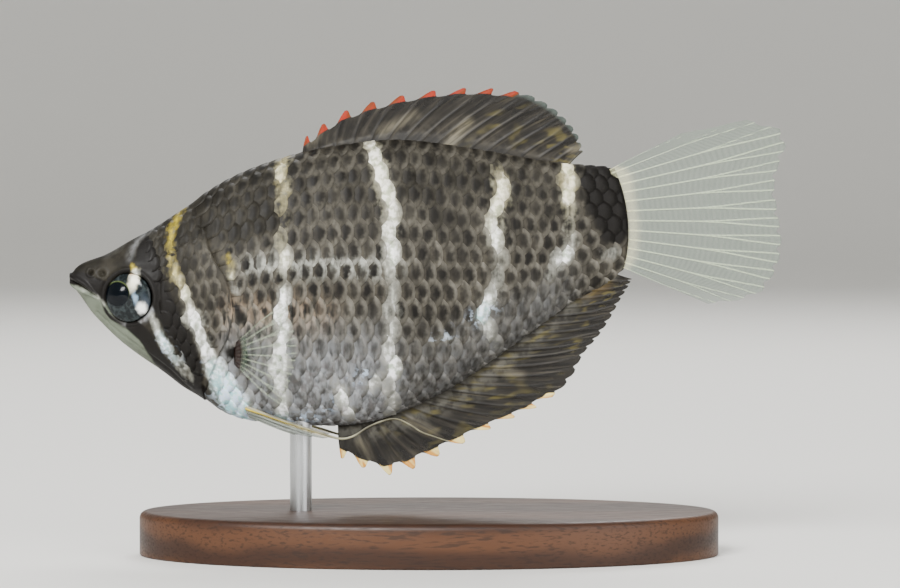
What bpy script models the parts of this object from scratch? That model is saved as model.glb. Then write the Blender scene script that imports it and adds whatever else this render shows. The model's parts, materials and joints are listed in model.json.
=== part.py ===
"""Chocolate gourami, life size, as a still museum model on a plain display stand.

Run with: blender --background --python part.py
Frame: +X towards the tail, +Z up, the fish's left flank faces -Y, origin under the stand.
Outlines and paths are written in mm, all other sizes in metres.
"""

import math

import bmesh
import bpy
from mathutils import Matrix, Vector

MM = 0.001
GAP = 0.3 * MM
QUARTER = math.pi / 2

# Body outlines from the side, (x, z) in mm, from the snout to the tail base
BACK = [
    (-25.9, 20.35), (-25.6, 20.8), (-25.0, 21.2), (-23.5, 21.75), (-21.9, 22.65),
    (-20.3, 23.6), (-18.0, 25.1), (-14.9, 27.1), (-12.5, 28.2), (-9.3, 29.2),
    (-6.4, 29.8), (-2.1, 30.2), (3.7, 29.5), (9.5, 28.5), (13.4, 28.15),
]
BELLY = [
    (-25.9, 19.75), (-25.6, 19.2), (-25.3, 18.8), (-24.3, 17.4), (-21.9, 15.1), (-17.8, 12.3),
    (-15.6, 10.7), (-14.1, 9.95), (-12.5, 9.6), (-9.2, 9.35), (-6.1, 9.3), (-4.0, 9.6),
    (-2.1, 10.2), (1.5, 11.9), (5.1, 14.3), (8.8, 17.0), (11.6, 19.1), (13.4, 20.5),
]
# Height of the body's widest level, and half of its width there, in mm
WIDEST_LEVEL = [
    (-25.9, 20.0), (-21.6, 18.7), (-16.6, 18.5), (-9.3, 19.0), (-2.1, 20.0), (5.1, 21.7), (13.4, 24.3),
]
HALF_WIDTH = [
    (-25.9, 0.3), (-25.4, 0.75), (-23.5, 1.4), (-21.6, 2.1), (-19.0, 2.75), (-16.0, 3.3), (-12.0, 3.75),
    (-8.0, 3.85), (-4.0, 3.65), (0.0, 3.15), (4.0, 2.5), (8.0, 1.75), (11.5, 1.05), (13.4, 0.55),
]
SNOUT_X = BACK[0][0] * MM
TAIL_BASE_X = BACK[-1][0] * MM
RIDGE = 1.12
STATIONS = 52
FRONT_CROWDING = 0.35
RING_POINTS = 28
TAIL_BOW_START_X = 9.8 * MM
TAIL_BOW = 0.65 * MM
TAIL_LEAN = 0.7 * MM

# Where the body is parted, (x, z) in mm from the side
GILL_LINE = [
    (-17.1, 29.6), (-16.9, 26.0), (-16.2, 23.9), (-15.6, 21.9), (-14.6, 20.3), (-14.0, 18.1), (-14.3, 16.1),
    (-15.0, 14.7), (-15.7, 13.0), (-16.2, 11.1), (-16.3, 7.6),
]
COVER_FRONT = [
    (-17.0, 23.0), (-18.1, 22.5), (-18.9, 21.3), (-19.4, 19.5), (-19.2, 17.4), (-18.4, 15.4), (-17.3, 13.5),
]
GILL_STEPS = 29
COVER_REAR_STEPS = 9
COVER_FRONT_STEPS = 20
COVER_TOP_SHARE = 0.26
COVER_FOOT_SHARE = 0.87
COVER_DEPTH = 2.0 * MM
COVER_FLARE = 0.22 * MM
COVER_FLARE_X = (-19.0 * MM, -14.6 * MM)
COVER_SKIN = 0.1 * MM
PEDUNCLE_LINE = [(10.4, 31.6), (10.4, 12.6)]
MOUTH_LINE = [(-27.5, 20.65), (-26.2, 20.0), (-24.8, 19.15), (-24.15, 18.6), (-23.75, 17.0), (-23.4, 13.6)]
CUT_REACH = 8.0 * MM
PIECE_MIDDLES = {
    "torso": (0, 0, 20.5),
    "head": (-20, 0, 20),
    "tail_peduncle": (12, 0, 24),
    "lower_jaw": (-24, 0, 17.5),
    "gill_cover_left": (-16, -2.8, 17.5),
    "gill_cover_right": (-16, 2.8, 17.5),
}

# Lips run round the snout from one corner of the mouth to the other
MOUTH_CORNER_X = -24.5 * MM
LIP_FRONT_X = -25.85 * MM
LIP_RADIUS = 0.42 * MM
LIP_CORNER = 0.35
LIP_SIDES = 8
LIP_STEPS = 24

# Eye, a flat lens in a round socket, and its fleshy rim
EYE_X = -21.6 * MM
EYE_Y = 1.85 * MM
EYE_Z = 18.7 * MM
EYE_RADIUS = 1.75 * MM
EYE_FRONT = 0.55 * MM
EYE_BACK = 1.1 * MM
EYE_TURN = math.radians(17)
EYE_SIDES = 20
RIM_THICKNESS = 0.2 * MM
RIM_STEPS = 24
RIM_SIDES = 6

# Nostrils, (x, z) in mm from the side, and their radii
NOSTRILS = [(-24.4, 20.5, 0.19), (-23.6, 20.45, 0.24)]
NOSTRIL_TILT = math.radians(65)
NOSTRIL_DEPTH = 0.5 * MM
NOSTRIL_SIDES = 10

# Fins: every ray is a root, a middle and a tip; thicknesses are shares of the first one
FIN_THICKNESS = 1.0 * MM
ROOT = 0.92
CREST = 0.85
MEMBRANE = 0.52
CREST_TIP = 0.4
MARGIN = 0.34
ROOT_END = 0.3
MARGIN_START = 0.85
# Where a ray's four columns lie, in shares of the way to the next ray, and how deep the margin is cut there
SOFT_PLACES = (-0.2, 0, 0.2, 0.5)
SOFT_NOTCH = (0.4, 0, 0.4, 1)
SPINE_PLACES = (-0.16, 0, 0.34, 0.46)
SPINE_NOTCH = (1, 0, 0.35, 1)
FORK_SPREAD = 0.3
NO_FORK = 2.0
MOST_NOTCH = 0.6
DORSAL_RAYS = 17
DORSAL_SPINES = 8
DORSAL_ROWS = 6
DORSAL_BOW = 0.07
DORSAL_BASE_X = (-9.3 * MM, 10.0 * MM)
DORSAL_TIPS = [
    (-8.9, 30.3), (-6.1, 32.15), (-2.1, 33.25), (2.45, 33.8), (6.2, 33.6), (8.4, 32.75), (9.85, 31.6),
    (10.8, 30.35), (11.15, 29.2),
]
ANAL_RAYS = 24
ANAL_SPINES = 9
ANAL_ROWS = 6
ANAL_BOW = -0.05
ANAL_BASE_X = (-6.6 * MM, 12.9 * MM)
ANAL_TIPS = [
    (-6.4, 7.0), (-2.75, 5.75), (0.9, 7.25), (4.8, 9.3), (8.2, 10.9), (10.2, 12.7), (11.2, 14.6),
    (12.2, 15.75), (13.1, 17.1), (13.8, 18.4), (14.4, 19.4), (14.7, 20.0),
]
CAUDAL_RAYS = 14
CAUDAL_ROWS = 9
CAUDAL_TURNS = (math.radians(70), math.radians(-62))
CAUDAL_TIPS = [
    (18.2, 30.5), (23.0, 31.5), (25.4, 30.85), (25.85, 29.6), (25.3, 28.2), (25.0, 26.8), (25.15, 25.35),
    (25.35, 24.1), (25.5, 22.8), (25.35, 21.5), (24.9, 20.3), (24.1, 19.1), (22.4, 18.45), (20.2, 18.2),
]
CAUDAL_FORK = 0.55
CAUDAL_SWAY = 0.35 * MM
ROOT_STEPS = 12
SPINE_STEP = 0.85 * MM
SOFT_STEP = 0.28 * MM
PECTORAL_STEP = 0.12 * MM

# Pectoral fins: a fan held out from the flank
PECTORAL_RAYS = 9
PECTORAL_ROWS = 6
PECTORAL_X = -13.75 * MM
PECTORAL_Z = 14.7 * MM
PECTORAL_BASE = 1.5 * MM
PECTORAL_LENGTH = 6.3 * MM
PECTORAL_OUT = math.radians(44)
PECTORAL_SPREAD = math.radians(33)
PECTORAL_LONGEST = 0.4
PECTORAL_ROUNDING = 0.3
PECTORAL_BOW = (-0.2 * MM, 0.3 * MM)

# Pelvic fins, (x, y, z) in mm: the folded fan's tips, then the way of the long thread
PELVIC_ROOT_X = (-13.2 * MM, -12.9 * MM)
PELVIC_ROOT_Y = (1.5 * MM, 0.85 * MM)
PELVIC_ROOT = 0.6
PELVIC_ROWS = 5
PELVIC_BOW = (0.2 * MM, -0.2 * MM)
PELVIC_TIPS = [(-6.4, 2.1, 8.55), (-7.6, 1.95, 8.6), (-8.6, 1.75, 8.7), (-9.7, 1.5, 8.85)]
PELVIC_THREAD = [
    (-5.4, 2.1, 8.75), (-4.35, 2.0, 9.4), (-3.2, 1.9, 9.85), (-2.3, 1.85, 9.95), (-1.4, 1.8, 9.55),
    (-0.5, 1.8, 9.0), (0.5, 1.85, 8.65), (1.55, 1.95, 8.3),
]
THREAD_RADIUS = 0.32 * MM
THREAD_TAPER = 0.5
THREAD_STEPS = 32
THREAD_SIDES = 6

# Stand
BASE_LENGTH = 42.0 * MM
BASE_WIDTH = 22.0 * MM
BASE_HEIGHT = 3.2 * MM
BASE_BEVEL = 0.5 * MM
BASE_SIDES = 48
ROD_X = -9.3 * MM
ROD_RADIUS = 0.8 * MM
ROD_IN_BASE = 2.0 * MM
ROD_IN_BODY = 3.5 * MM
ROD_SIDES = 20

SMOOTH_ANGLE = math.radians(35)


def clear_scene():
    for old in list(bpy.data.objects):
        bpy.data.objects.remove(old, do_unlink=True)


def smoothstep(low, high, value):
    t = min(max((value - low) / (high - low), 0), 1)
    return t * t * (3 - 2 * t)


def mix(first, second, share):
    return first + (second - first) * share


def smooth_line(points):
    """A function of x that runs smoothly through (x, value) points given in mm; both are in metres."""
    knots = [(x * MM, value * MM) for x, value in points]
    last = len(knots) - 1
    slopes = []
    for i in range(last + 1):
        before = knots[max(i - 1, 0)]
        after = knots[min(i + 1, last)]
        slopes.append((after[1] - before[1]) / (after[0] - before[0]))

    def value_at(x):
        x = min(max(x, knots[0][0]), knots[last][0])
        i = max(k for k in range(last) if knots[k][0] <= x)
        span = knots[i + 1][0] - knots[i][0]
        t = (x - knots[i][0]) / span
        rise = t * t * (3 - 2 * t)
        bend = t * (1 - t) * ((1 - t) * slopes[i] - t * slopes[i + 1]) * span
        return mix(knots[i][1], knots[i + 1][1], rise) + bend

    return value_at


def smooth_path(points, share):
    """The place at a share from 0 to 1 of a smooth path through evenly spaced points of any size."""
    spans = len(points) - 1
    i = min(int(share * spans), spans - 1)
    t = share * spans - i
    p0, p1, p2, p3 = (Vector(points[min(max(k, 0), spans)]) for k in (i - 1, i, i + 1, i + 2))
    bend = (2 * p0 - 5 * p1 + 4 * p2 - p3) * t**2 + (3 * p1 - p0 - 3 * p2 + p3) * t**3
    return p1 + ((p2 - p0) * t + bend) / 2


back_z = smooth_line(BACK)
belly_z = smooth_line(BELLY)
widest_z = smooth_line(WIDEST_LEVEL)
half_width = smooth_line(HALF_WIDTH)


def body_point(x, turn):
    """A point of the skin: a place along the fish, and the turn round it from the left flank upwards."""
    rise = math.sin(turn)
    out = math.cos(turn)
    reach = (back_z(x) if rise > 0 else belly_z(x)) - widest_z(x)
    bow = TAIL_BOW * (1 - rise**2) + TAIL_LEAN * (1 - rise) / 2
    back = bow * smoothstep(TAIL_BOW_START_X, TAIL_BASE_X, x)
    side = math.copysign(abs(out) ** RIDGE, out)
    return Vector((x + back, -half_width(x) * side, widest_z(x) + abs(rise) * reach))


def flank_y(x, z):
    """Half of the body's width at a place seen from the side."""
    level = widest_z(x)
    reach = (back_z(x) if z > level else belly_z(x)) - level
    share = min((z - level) / reach, 1)
    return half_width(x) * (1 - share**2) ** (RIDGE / 2)


def make_material(name, colour, roughness, metallic=0.0, alpha=1.0):
    material = bpy.data.materials.new(name)
    material.use_nodes = True
    shader = material.node_tree.nodes["Principled BSDF"]
    shader.inputs["Base Color"].default_value = (*colour, 1)
    shader.inputs["Roughness"].default_value = roughness
    shader.inputs["Metallic"].default_value = metallic
    shader.inputs["Alpha"].default_value = alpha
    return material


def add_object(name, shape, material):
    """An object made from a bmesh, which is freed."""
    mesh = bpy.data.meshes.new(name)
    shape.to_mesh(mesh)
    shape.free()
    mesh.materials.append(material)
    made = bpy.data.objects.new(name, mesh)
    bpy.context.scene.collection.objects.link(made)
    return made


def bake_modifiers(target):
    """Turns an object's modifiers into its own mesh."""
    bpy.context.view_layer.update()
    graph = bpy.context.evaluated_depsgraph_get()
    mesh = bpy.data.meshes.new_from_object(target.evaluated_get(graph))
    target.modifiers.clear()
    target.data = mesh


def turn_outwards(target):
    shape = bmesh.new()
    shape.from_mesh(target.data)
    bmesh.ops.recalc_face_normals(shape, faces=shape.faces)
    shape.to_mesh(target.data)
    shape.free()


def combine(target, others, operation):
    """Joins closed objects to the target, or cuts them from it, and removes them."""
    group = bpy.data.collections.new(operation)
    for other in others:
        group.objects.link(other)
    modifier = target.modifiers.new(operation, "BOOLEAN")
    modifier.operation = operation
    modifier.operand_type = "COLLECTION"
    modifier.collection = group
    modifier.solver = "EXACT"
    bake_modifiers(target)
    for other in others:
        bpy.data.objects.remove(other, do_unlink=True)
    bpy.data.collections.remove(group)


def loose_pieces(source):
    """The closed surfaces that an object falls into, each as a bmesh, the largest first; it is removed."""
    whole = bmesh.new()
    whole.from_mesh(source.data)
    bpy.data.objects.remove(source, do_unlink=True)
    unseen = set(whole.verts)
    groups = []
    while unseen:
        front = [unseen.pop()]
        group = set(front)
        while front:
            here = front.pop()
            near = {edge.other_vert(here) for edge in here.link_edges} & unseen
            unseen -= near
            group |= near
            front += near
        groups.append({vert.index for vert in group})
    pieces = []
    for group in groups:
        piece = whole.copy()
        others = [vert for vert in piece.verts if vert.index not in group]
        bmesh.ops.delete(piece, geom=others, context="VERTS")
        pieces.append(piece)
    whole.free()
    return sorted(pieces, key=lambda piece: -piece.calc_volume())


def keep_largest(target):
    """The object again, with only its largest closed surface."""
    name = target.name
    material = target.data.materials[0]
    pieces = loose_pieces(target)
    for scrap in pieces[1:]:
        scrap.free()
    return add_object(name, pieces[0], material)


def prism(name, outline, y_low, y_high, material):
    """A closed block between two depths, from an outline of (x, z) points seen from the side."""
    shape = bmesh.new()
    ring = [shape.verts.new((x, y_low, z)) for x, z in outline]
    grown = bmesh.ops.extrude_face_region(shape, geom=[shape.faces.new(ring)])
    moved = [part for part in grown["geom"] if isinstance(part, bmesh.types.BMVert)]
    bmesh.ops.translate(shape, verts=moved, vec=(0, y_high - y_low, 0))
    bmesh.ops.recalc_face_normals(shape, faces=shape.faces)
    return add_object(name, shape, material)


def ribbon(points, width):
    """The outline of a strip along a line of (x, z) points given in mm."""
    line = [Vector(point) * MM for point in points]
    upper = []
    lower = []
    for i, here in enumerate(line):
        along = (line[min(i + 1, len(line) - 1)] - line[max(i - 1, 0)]).normalized()
        aside = Vector((-along.y, along.x)) * width / 2
        upper.append(here + aside)
        lower.append(here - aside)
    return upper + lower[::-1]


def tube(name, points, radius, shape_of, sides, steps, material):
    """A round rope: a closed ring through the points, or with a number of steps a smooth open path.

    The open path's thickness follows a function of the share of its way.
    """
    curve = bpy.data.curves.new(name, "CURVE")
    curve.dimensions = "3D"
    curve.bevel_depth = radius
    curve.bevel_resolution = sides // 2 - 2
    curve.use_fill_caps = True
    spline = curve.splines.new("POLY")
    spline.use_cyclic_u = steps == 0
    places = [smooth_path(points, k / steps) for k in range(steps + 1)] if steps else points
    spline.points.add(len(places) - 1)
    for i, place in enumerate(places):
        spline.points[i].co = (*place, 1)
        spline.points[i].radius = shape_of(i / steps) if steps else 1
    source = bpy.data.objects.new(name, curve)
    bpy.context.scene.collection.objects.link(source)
    bpy.context.view_layer.update()
    mesh = bpy.data.meshes.new_from_object(source.evaluated_get(bpy.context.evaluated_depsgraph_get()))
    bpy.data.objects.remove(source, do_unlink=True)
    shape = bmesh.new()
    shape.from_mesh(mesh)
    bmesh.ops.remove_doubles(shape, verts=shape.verts, dist=0.001 * MM)
    bmesh.ops.recalc_face_normals(shape, faces=shape.faces)
    return add_object(name, shape, material)


def cylinder(name, radius, x, z_low, z_high, sides, material):
    shape = bmesh.new()
    bmesh.ops.create_cone(
        shape, cap_ends=True, segments=sides, radius1=radius, radius2=radius, depth=z_high - z_low
    )
    bmesh.ops.translate(shape, verts=shape.verts, vec=(x, 0, (z_low + z_high) / 2))
    return add_object(name, shape, material)


def make_body(material):
    """The whole body as one closed skin of rings, from the snout to the tail base."""
    shape = bmesh.new()
    turns = [2 * math.pi * k / RING_POINTS for k in range(RING_POINTS)]
    rings = []
    for i in range(STATIONS):
        share = i / (STATIONS - 1)
        x = mix(SNOUT_X, TAIL_BASE_X, FRONT_CROWDING * share**2 + (1 - FRONT_CROWDING) * share)
        ring = [shape.verts.new(body_point(x, turn)) for turn in turns]
        rings.append([shape.edges.new((ring[k - 1], ring[k])) for k in range(RING_POINTS)])
    for first, second in zip(rings, rings[1:]):
        bmesh.ops.bridge_loops(shape, edges=first + second)
    for ring in (rings[0], rings[-1]):
        bmesh.ops.contextual_create(shape, geom=ring)
    bmesh.ops.recalc_face_normals(shape, faces=shape.faces)
    return add_object("body", shape, material)


def eye_place(side):
    """Where an eye sits: its own Z looks out of the head and a little forwards."""
    outward = Matrix.Rotation(QUARTER * -side, 4, "X")
    forward = Matrix.Rotation(EYE_TURN * side, 4, "Z")
    return Matrix.Translation((EYE_X, side * EYE_Y, EYE_Z)) @ forward @ outward


def eye_shape(name, side, grow, material):
    """A globe, shallow in front and deeper behind; grown a little, it cuts its own socket."""
    shape = bmesh.new()
    bmesh.ops.create_uvsphere(shape, u_segments=EYE_SIDES, v_segments=EYE_SIDES // 2, radius=1)
    for vert in shape.verts:
        depth = EYE_FRONT if vert.co.z > 0 else EYE_BACK
        across = EYE_RADIUS + grow
        vert.co = Vector((vert.co.x * across, vert.co.y * across, vert.co.z * (depth + grow)))
    bmesh.ops.transform(shape, matrix=eye_place(side), verts=shape.verts)
    return add_object(name, shape, material)


def eye_rim(side, material):
    """The fleshy ring round one eye, half sunk in the head all the way round."""
    middle = EYE_RADIUS + GAP + RIM_THICKNESS
    points = []
    for k in range(RIM_STEPS):
        turn = 2 * math.pi * k / RIM_STEPS
        x = EYE_X + middle * math.cos(turn) * math.cos(EYE_TURN)
        z = EYE_Z + middle * math.sin(turn)
        points.append(Vector((x, side * flank_y(x, z), z)))
    return tube(f"eye_rim_{side}", points, RIM_THICKNESS, None, RIM_SIDES, 0, material)


def lip_swell(share):
    """The lips' thickness on their way round the snout: fullest in front, thin at the corners."""
    return mix(LIP_CORNER, 1, math.sin(math.pi * share) ** 0.5)


def make_lips(material):
    """Both lips as one rope round the gape, which the cut of the mouth parts."""
    gape = smooth_line(MOUTH_LINE)
    half = []
    for share in (0, 0.4, 0.8):
        x = mix(MOUTH_CORNER_X, LIP_FRONT_X, share)
        z = gape(x)
        half.append((x, flank_y(x, z), z))
    points = [(x, -y, z) for x, y, z in half]
    points.append((LIP_FRONT_X, 0, gape(LIP_FRONT_X)))
    points += reversed(half)
    return tube("lips", points, LIP_RADIUS, lip_swell, LIP_SIDES, LIP_STEPS, material)


def nostril(x, z, radius, side, material):
    """A cutter for one nostril: a short pin that dips into the snout."""
    shape = bmesh.new()
    depth = 2 * NOSTRIL_DEPTH
    bmesh.ops.create_cone(
        shape, cap_ends=True, segments=NOSTRIL_SIDES, radius1=radius, radius2=radius, depth=depth
    )
    place = Matrix.Translation((x, side * flank_y(x, z), z)) @ Matrix.Rotation(-NOSTRIL_TILT * side, 4, "X")
    bmesh.ops.transform(shape, matrix=place, verts=shape.verts)
    return add_object("nostril", shape, material)


def gill_path(low, high, steps):
    """Points in mm along the gill opening, between two shares of its way from the nape to the throat."""
    return [smooth_path(GILL_LINE, mix(low, high, k / (steps - 1))) for k in range(steps)]


def cover_cutters(side, material):
    """The groove round one gill cover and the thin space under it."""
    rear = gill_path(COVER_TOP_SHARE, COVER_FOOT_SHARE, COVER_REAR_STEPS)
    knots = [rear[0], *COVER_FRONT, rear[-1]]
    front = [smooth_path(knots, k / COVER_FRONT_STEPS) for k in range(COVER_FRONT_STEPS + 1)]
    outline = [point * MM for point in front + rear[-2:0:-1]]
    inner, outer = sorted((side * COVER_DEPTH, side * CUT_REACH))
    floor_low, floor_high = sorted((side * COVER_DEPTH, side * (COVER_DEPTH + GAP)))
    groove = prism(f"groove_{side}", ribbon(front, GAP), inner, outer, material)
    floor = prism(f"under_cover_{side}", outline, floor_low, floor_high, material)
    return [groove, floor]


def flare_cover(cover):
    """Lifts a gill cover's outer skin towards its rear edge, which stands a little proud of the flank."""
    for vert in cover.data.vertices:
        x, y, z = vert.co
        if abs(y) > max(COVER_DEPTH + 1.5 * GAP, flank_y(x, z) - COVER_SKIN):
            vert.co.y += math.copysign(COVER_FLARE * smoothstep(*COVER_FLARE_X, x), y)


def make_parted_body(material):
    """The body, modelled whole with its lips and eye rims and parted by thin cuts."""
    body = make_body(material)
    combine(body, [make_lips(material), eye_rim(-1, material), eye_rim(1, material)], "UNION")
    socket_top = belly_z(ROD_X) + ROD_IN_BODY + GAP
    cutters = [
        prism("gill_cut", ribbon(gill_path(0, 1, GILL_STEPS), GAP), -CUT_REACH, CUT_REACH, material),
        prism("peduncle_cut", ribbon(PEDUNCLE_LINE, GAP), -CUT_REACH, CUT_REACH, material),
        prism("mouth_cut", ribbon(MOUTH_LINE, GAP), -CUT_REACH, CUT_REACH, material),
        cylinder("rod_socket", ROD_RADIUS + GAP, ROD_X, BASE_HEIGHT, socket_top, ROD_SIDES, material),
    ]
    for side in (-1, 1):
        cutters.append(eye_shape(f"orbit_{side}", side, GAP, material))
        cutters += cover_cutters(side, material)
        for x, z, radius in NOSTRILS:
            cutters.append(nostril(x * MM, z * MM, radius * MM, side, material))
    combine(body, cutters, "DIFFERENCE")
    name_pieces(loose_pieces(body), material)


def name_pieces(pieces, material):
    """Gives each piece of the parted body, the largest first, the name whose middle is nearest."""
    free = dict(PIECE_MIDDLES)
    for piece in pieces:
        if not free:
            piece.free()
            continue
        middle = sum((vert.co for vert in piece.verts), Vector()) / len(piece.verts)
        name = min(free, key=lambda place: (Vector(free[place]) * MM - middle).length)
        free.pop(name)
        made = add_object(name, piece, material)
        if name.startswith("gill_cover"):
            flare_cover(made)


class Fin:
    """A fin's rays, and how its margin and its ridges run."""

    def __init__(self, rays, spines=0, step=SOFT_STEP, fork=NO_FORK, root=ROOT):
        self.rays = rays
        self.spines = spines
        self.step = step
        self.fork = fork
        self.root = root

    def point(self, number, along):
        """A place of the sheet, from a ray's number or one between two rays, and a share of its length."""
        first = min(max(math.floor(number), 0), len(self.rays) - 2)
        here = ray_point(self.rays[first], along)
        there = ray_point(self.rays[first + 1], along)
        return here + (there - here) * (number - first)

    def vertex(self, column, row_share):
        """A place of the sheet and its share of the full thickness, from its column and its row."""
        ray, part = divmod(column, 4)
        spiny = ray < self.spines
        aside = (SPINE_PLACES if spiny else SOFT_PLACES)[part]
        notch = SPINE_NOTCH[part] * SPINE_STEP if spiny else SOFT_NOTCH[part] * self.step
        length = (self.point(ray + aside, 1) - self.point(ray + aside, 0)).length
        along = row_share * (1 - min(notch / length, MOST_NOTCH))
        parted = smoothstep(self.fork, self.fork + FORK_SPREAD, along)
        ridge = (parted, 1 - parted, parted, 0)[part]
        if part in (0, 2):
            aside *= 1 + parted / 2
        return self.point(ray + aside, along), self.thickness(ridge, along)

    def thickness(self, ridge, along):
        """The share of the full thickness: thick at the root, raised along a ray, thin at the margin."""
        crest = mix(CREST, CREST_TIP, along)
        membrane = mix(MEMBRANE, MARGIN, smoothstep(MARGIN_START, 1, along))
        return mix(self.root, mix(membrane, crest, ridge), smoothstep(0, ROOT_END, along))


def ray_point(ray, along):
    """A point of a ray's gentle curve from its root to its tip."""
    root, middle, tip = ray
    return root * (1 - along) ** 2 + 2 * middle * along * (1 - along) + tip * along**2


def make_fin(name, fin, rows, material):
    """One sheet through all the rays, whose thickness raises each ray as a ridge on both faces."""
    shape = bmesh.new()
    last = 4 * len(fin.rays) - 2
    bmesh.ops.create_grid(shape, x_segments=last, y_segments=rows - 1, size=0.5)
    weights = []
    for vert in shape.verts:
        vert.co, weight = fin.vertex(round((vert.co.x + 0.5) * last), vert.co.y + 0.5)
        weights.append(weight)
    bmesh.ops.triangulate(shape, faces=shape.faces, quad_method="FIXED")
    made = add_object(name, shape, material)
    group = made.vertex_groups.new(name="thickness")
    for index, weight in enumerate(weights):
        group.add([index], weight, "REPLACE")
    solid = made.modifiers.new("thickness", "SOLIDIFY")
    solid.thickness = FIN_THICKNESS
    solid.offset = 0
    solid.vertex_group = group.name
    bake_modifiers(made)
    turn_outwards(made)
    return made


def median_rays(count, roots, tips, bow, sway=0.0):
    """Rays of an upright fin from roots to a path of tips in mm, bowed by a share of their length."""
    rays = []
    for i in range(count):
        share = i / (count - 1)
        root = smooth_path(roots, share)
        x, z = smooth_path(tips, share) * MM
        tip = Vector((x, sway * math.sin(2 * math.pi * share), z))
        lean = tip - root
        middle = (root + tip) / 2 + Vector((-lean.z, 0, lean.x)) * bow
        rays.append((root, middle, tip))
    return rays


def ridge_roots(base, turn):
    """Root points just off the back, at a quarter turn up, or off the belly, at a quarter turn down."""
    roots = []
    for k in range(ROOT_STEPS + 1):
        x = mix(*base, k / ROOT_STEPS)
        here = body_point(x, turn)
        along = (body_point(x + MM / 2, turn) - body_point(x - MM / 2, turn)).normalized()
        outward = Vector((-along.z, 0, along.x)) * math.copysign(GAP, turn)
        roots.append(Vector((here.x, 0, here.z)) + outward)
    return roots


def make_dorsal_fin(material):
    rays = median_rays(DORSAL_RAYS, ridge_roots(DORSAL_BASE_X, QUARTER), DORSAL_TIPS, DORSAL_BOW)
    return make_fin("dorsal_fin", Fin(rays, DORSAL_SPINES), DORSAL_ROWS, material)


def make_anal_fin(material):
    rays = median_rays(ANAL_RAYS, ridge_roots(ANAL_BASE_X, -QUARTER), ANAL_TIPS, ANAL_BOW)
    return make_fin("anal_fin", Fin(rays, ANAL_SPINES), ANAL_ROWS, material)


def make_caudal_fin(material):
    roots = []
    for k in range(ROOT_STEPS + 1):
        end = body_point(TAIL_BASE_X, mix(*CAUDAL_TURNS, k / ROOT_STEPS))
        roots.append(Vector((end.x + GAP, 0, end.z)))
    rays = median_rays(CAUDAL_RAYS, roots, CAUDAL_TIPS, 0.0, CAUDAL_SWAY)
    return make_fin("caudal_fin", Fin(rays, fork=CAUDAL_FORK), CAUDAL_ROWS, material)


def make_pectoral_fin(side, material):
    """A fan on a short upright base behind the gill cover, held out from the flank."""
    base_y = flank_y(PECTORAL_X, PECTORAL_Z) + 2 * GAP
    rays = []
    for i in range(PECTORAL_RAYS):
        share = i / (PECTORAL_RAYS - 1)
        rise = 1 - 2 * share
        root = Vector((PECTORAL_X, side * base_y, PECTORAL_Z + rise * PECTORAL_BASE / 2))
        spread = PECTORAL_SPREAD * rise
        level = math.cos(spread)
        back, out = level * math.cos(PECTORAL_OUT), level * math.sin(PECTORAL_OUT)
        length = PECTORAL_LENGTH * (1 - PECTORAL_ROUNDING * abs(share - PECTORAL_LONGEST))
        tip = root + Vector((back, side * out, math.sin(spread))) * length
        middle = (root + tip) / 2 + Vector((PECTORAL_BOW[0], side * PECTORAL_BOW[1], 0))
        rays.append((root, middle, tip))
    name = "pectoral_fin_left" if side < 0 else "pectoral_fin_right"
    return make_fin(name, Fin(rays, step=PECTORAL_STEP), PECTORAL_ROWS, material)


def belly_root(x, y, clear):
    """A point under the belly at a place seen from below, clear of the skin by the given distance."""
    level = widest_z(x)
    share = math.sqrt(1 - (abs(y) / half_width(x)) ** (2 / RIDGE))
    reach = level - belly_z(x)
    slope = reach * y / (half_width(x) ** 2 * share)
    return Vector((x, y, level - reach * share)) + Vector((0, slope, -1)).normalized() * clear


def thread_taper(share):
    return 1 - THREAD_TAPER * share


def make_pelvic_fin(side, material):
    """A small folded fan under the belly, its first ray drawn out to a long thread."""
    clear = GAP + FIN_THICKNESS * PELVIC_ROOT / 2
    rays = []
    for i, (x, y, z) in enumerate(PELVIC_TIPS):
        share = i / (len(PELVIC_TIPS) - 1)
        root = belly_root(mix(*PELVIC_ROOT_X, share), side * mix(*PELVIC_ROOT_Y, share), clear)
        tip = Vector((x, side * y, z)) * MM
        middle = (root + tip) / 2 + Vector((0, side * PELVIC_BOW[0], PELVIC_BOW[1]))
        rays.append((root, middle, tip))
    name = "pelvic_fin_left" if side < 0 else "pelvic_fin_right"
    fan = make_fin(name, Fin(rays, root=PELVIC_ROOT), PELVIC_ROWS, material)
    way = [ray_point(rays[0], k / PELVIC_ROWS) for k in range(PELVIC_ROWS + 1)]
    way += [Vector((x, side * y, z)) * MM for x, y, z in PELVIC_THREAD]
    thread = tube(f"thread_{side}", way, THREAD_RADIUS, thread_taper, THREAD_SIDES, THREAD_STEPS, material)
    combine(fan, [thread], "UNION")
    return keep_largest(fan)


def make_stand(wood, steel):
    """An oval base, and a rod from a socket in the base up to one in the belly."""
    shape = bmesh.new()
    bmesh.ops.create_cone(
        shape, cap_ends=True, segments=BASE_SIDES, radius1=0.5, radius2=0.5, depth=BASE_HEIGHT
    )
    bmesh.ops.scale(shape, verts=shape.verts, vec=(BASE_LENGTH, BASE_WIDTH, 1))
    bmesh.ops.translate(shape, verts=shape.verts, vec=(0, 0, BASE_HEIGHT / 2))
    rim = [edge for edge in shape.edges if all(vert.co.z > BASE_HEIGHT / 2 for vert in edge.verts)]
    bmesh.ops.bevel(
        shape, geom=rim, offset=BASE_BEVEL, segments=2, profile=0.5, affect="EDGES", material=-1
    )
    base = add_object("stand_base", shape, wood)
    floor = BASE_HEIGHT - ROD_IN_BASE
    socket = cylinder("socket", ROD_RADIUS + GAP, ROD_X, floor - GAP, 2 * BASE_HEIGHT, ROD_SIDES, wood)
    combine(base, [socket], "DIFFERENCE")
    cylinder("stand_rod", ROD_RADIUS, ROD_X, floor, belly_z(ROD_X) + ROD_IN_BODY, ROD_SIDES, steel)


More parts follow.
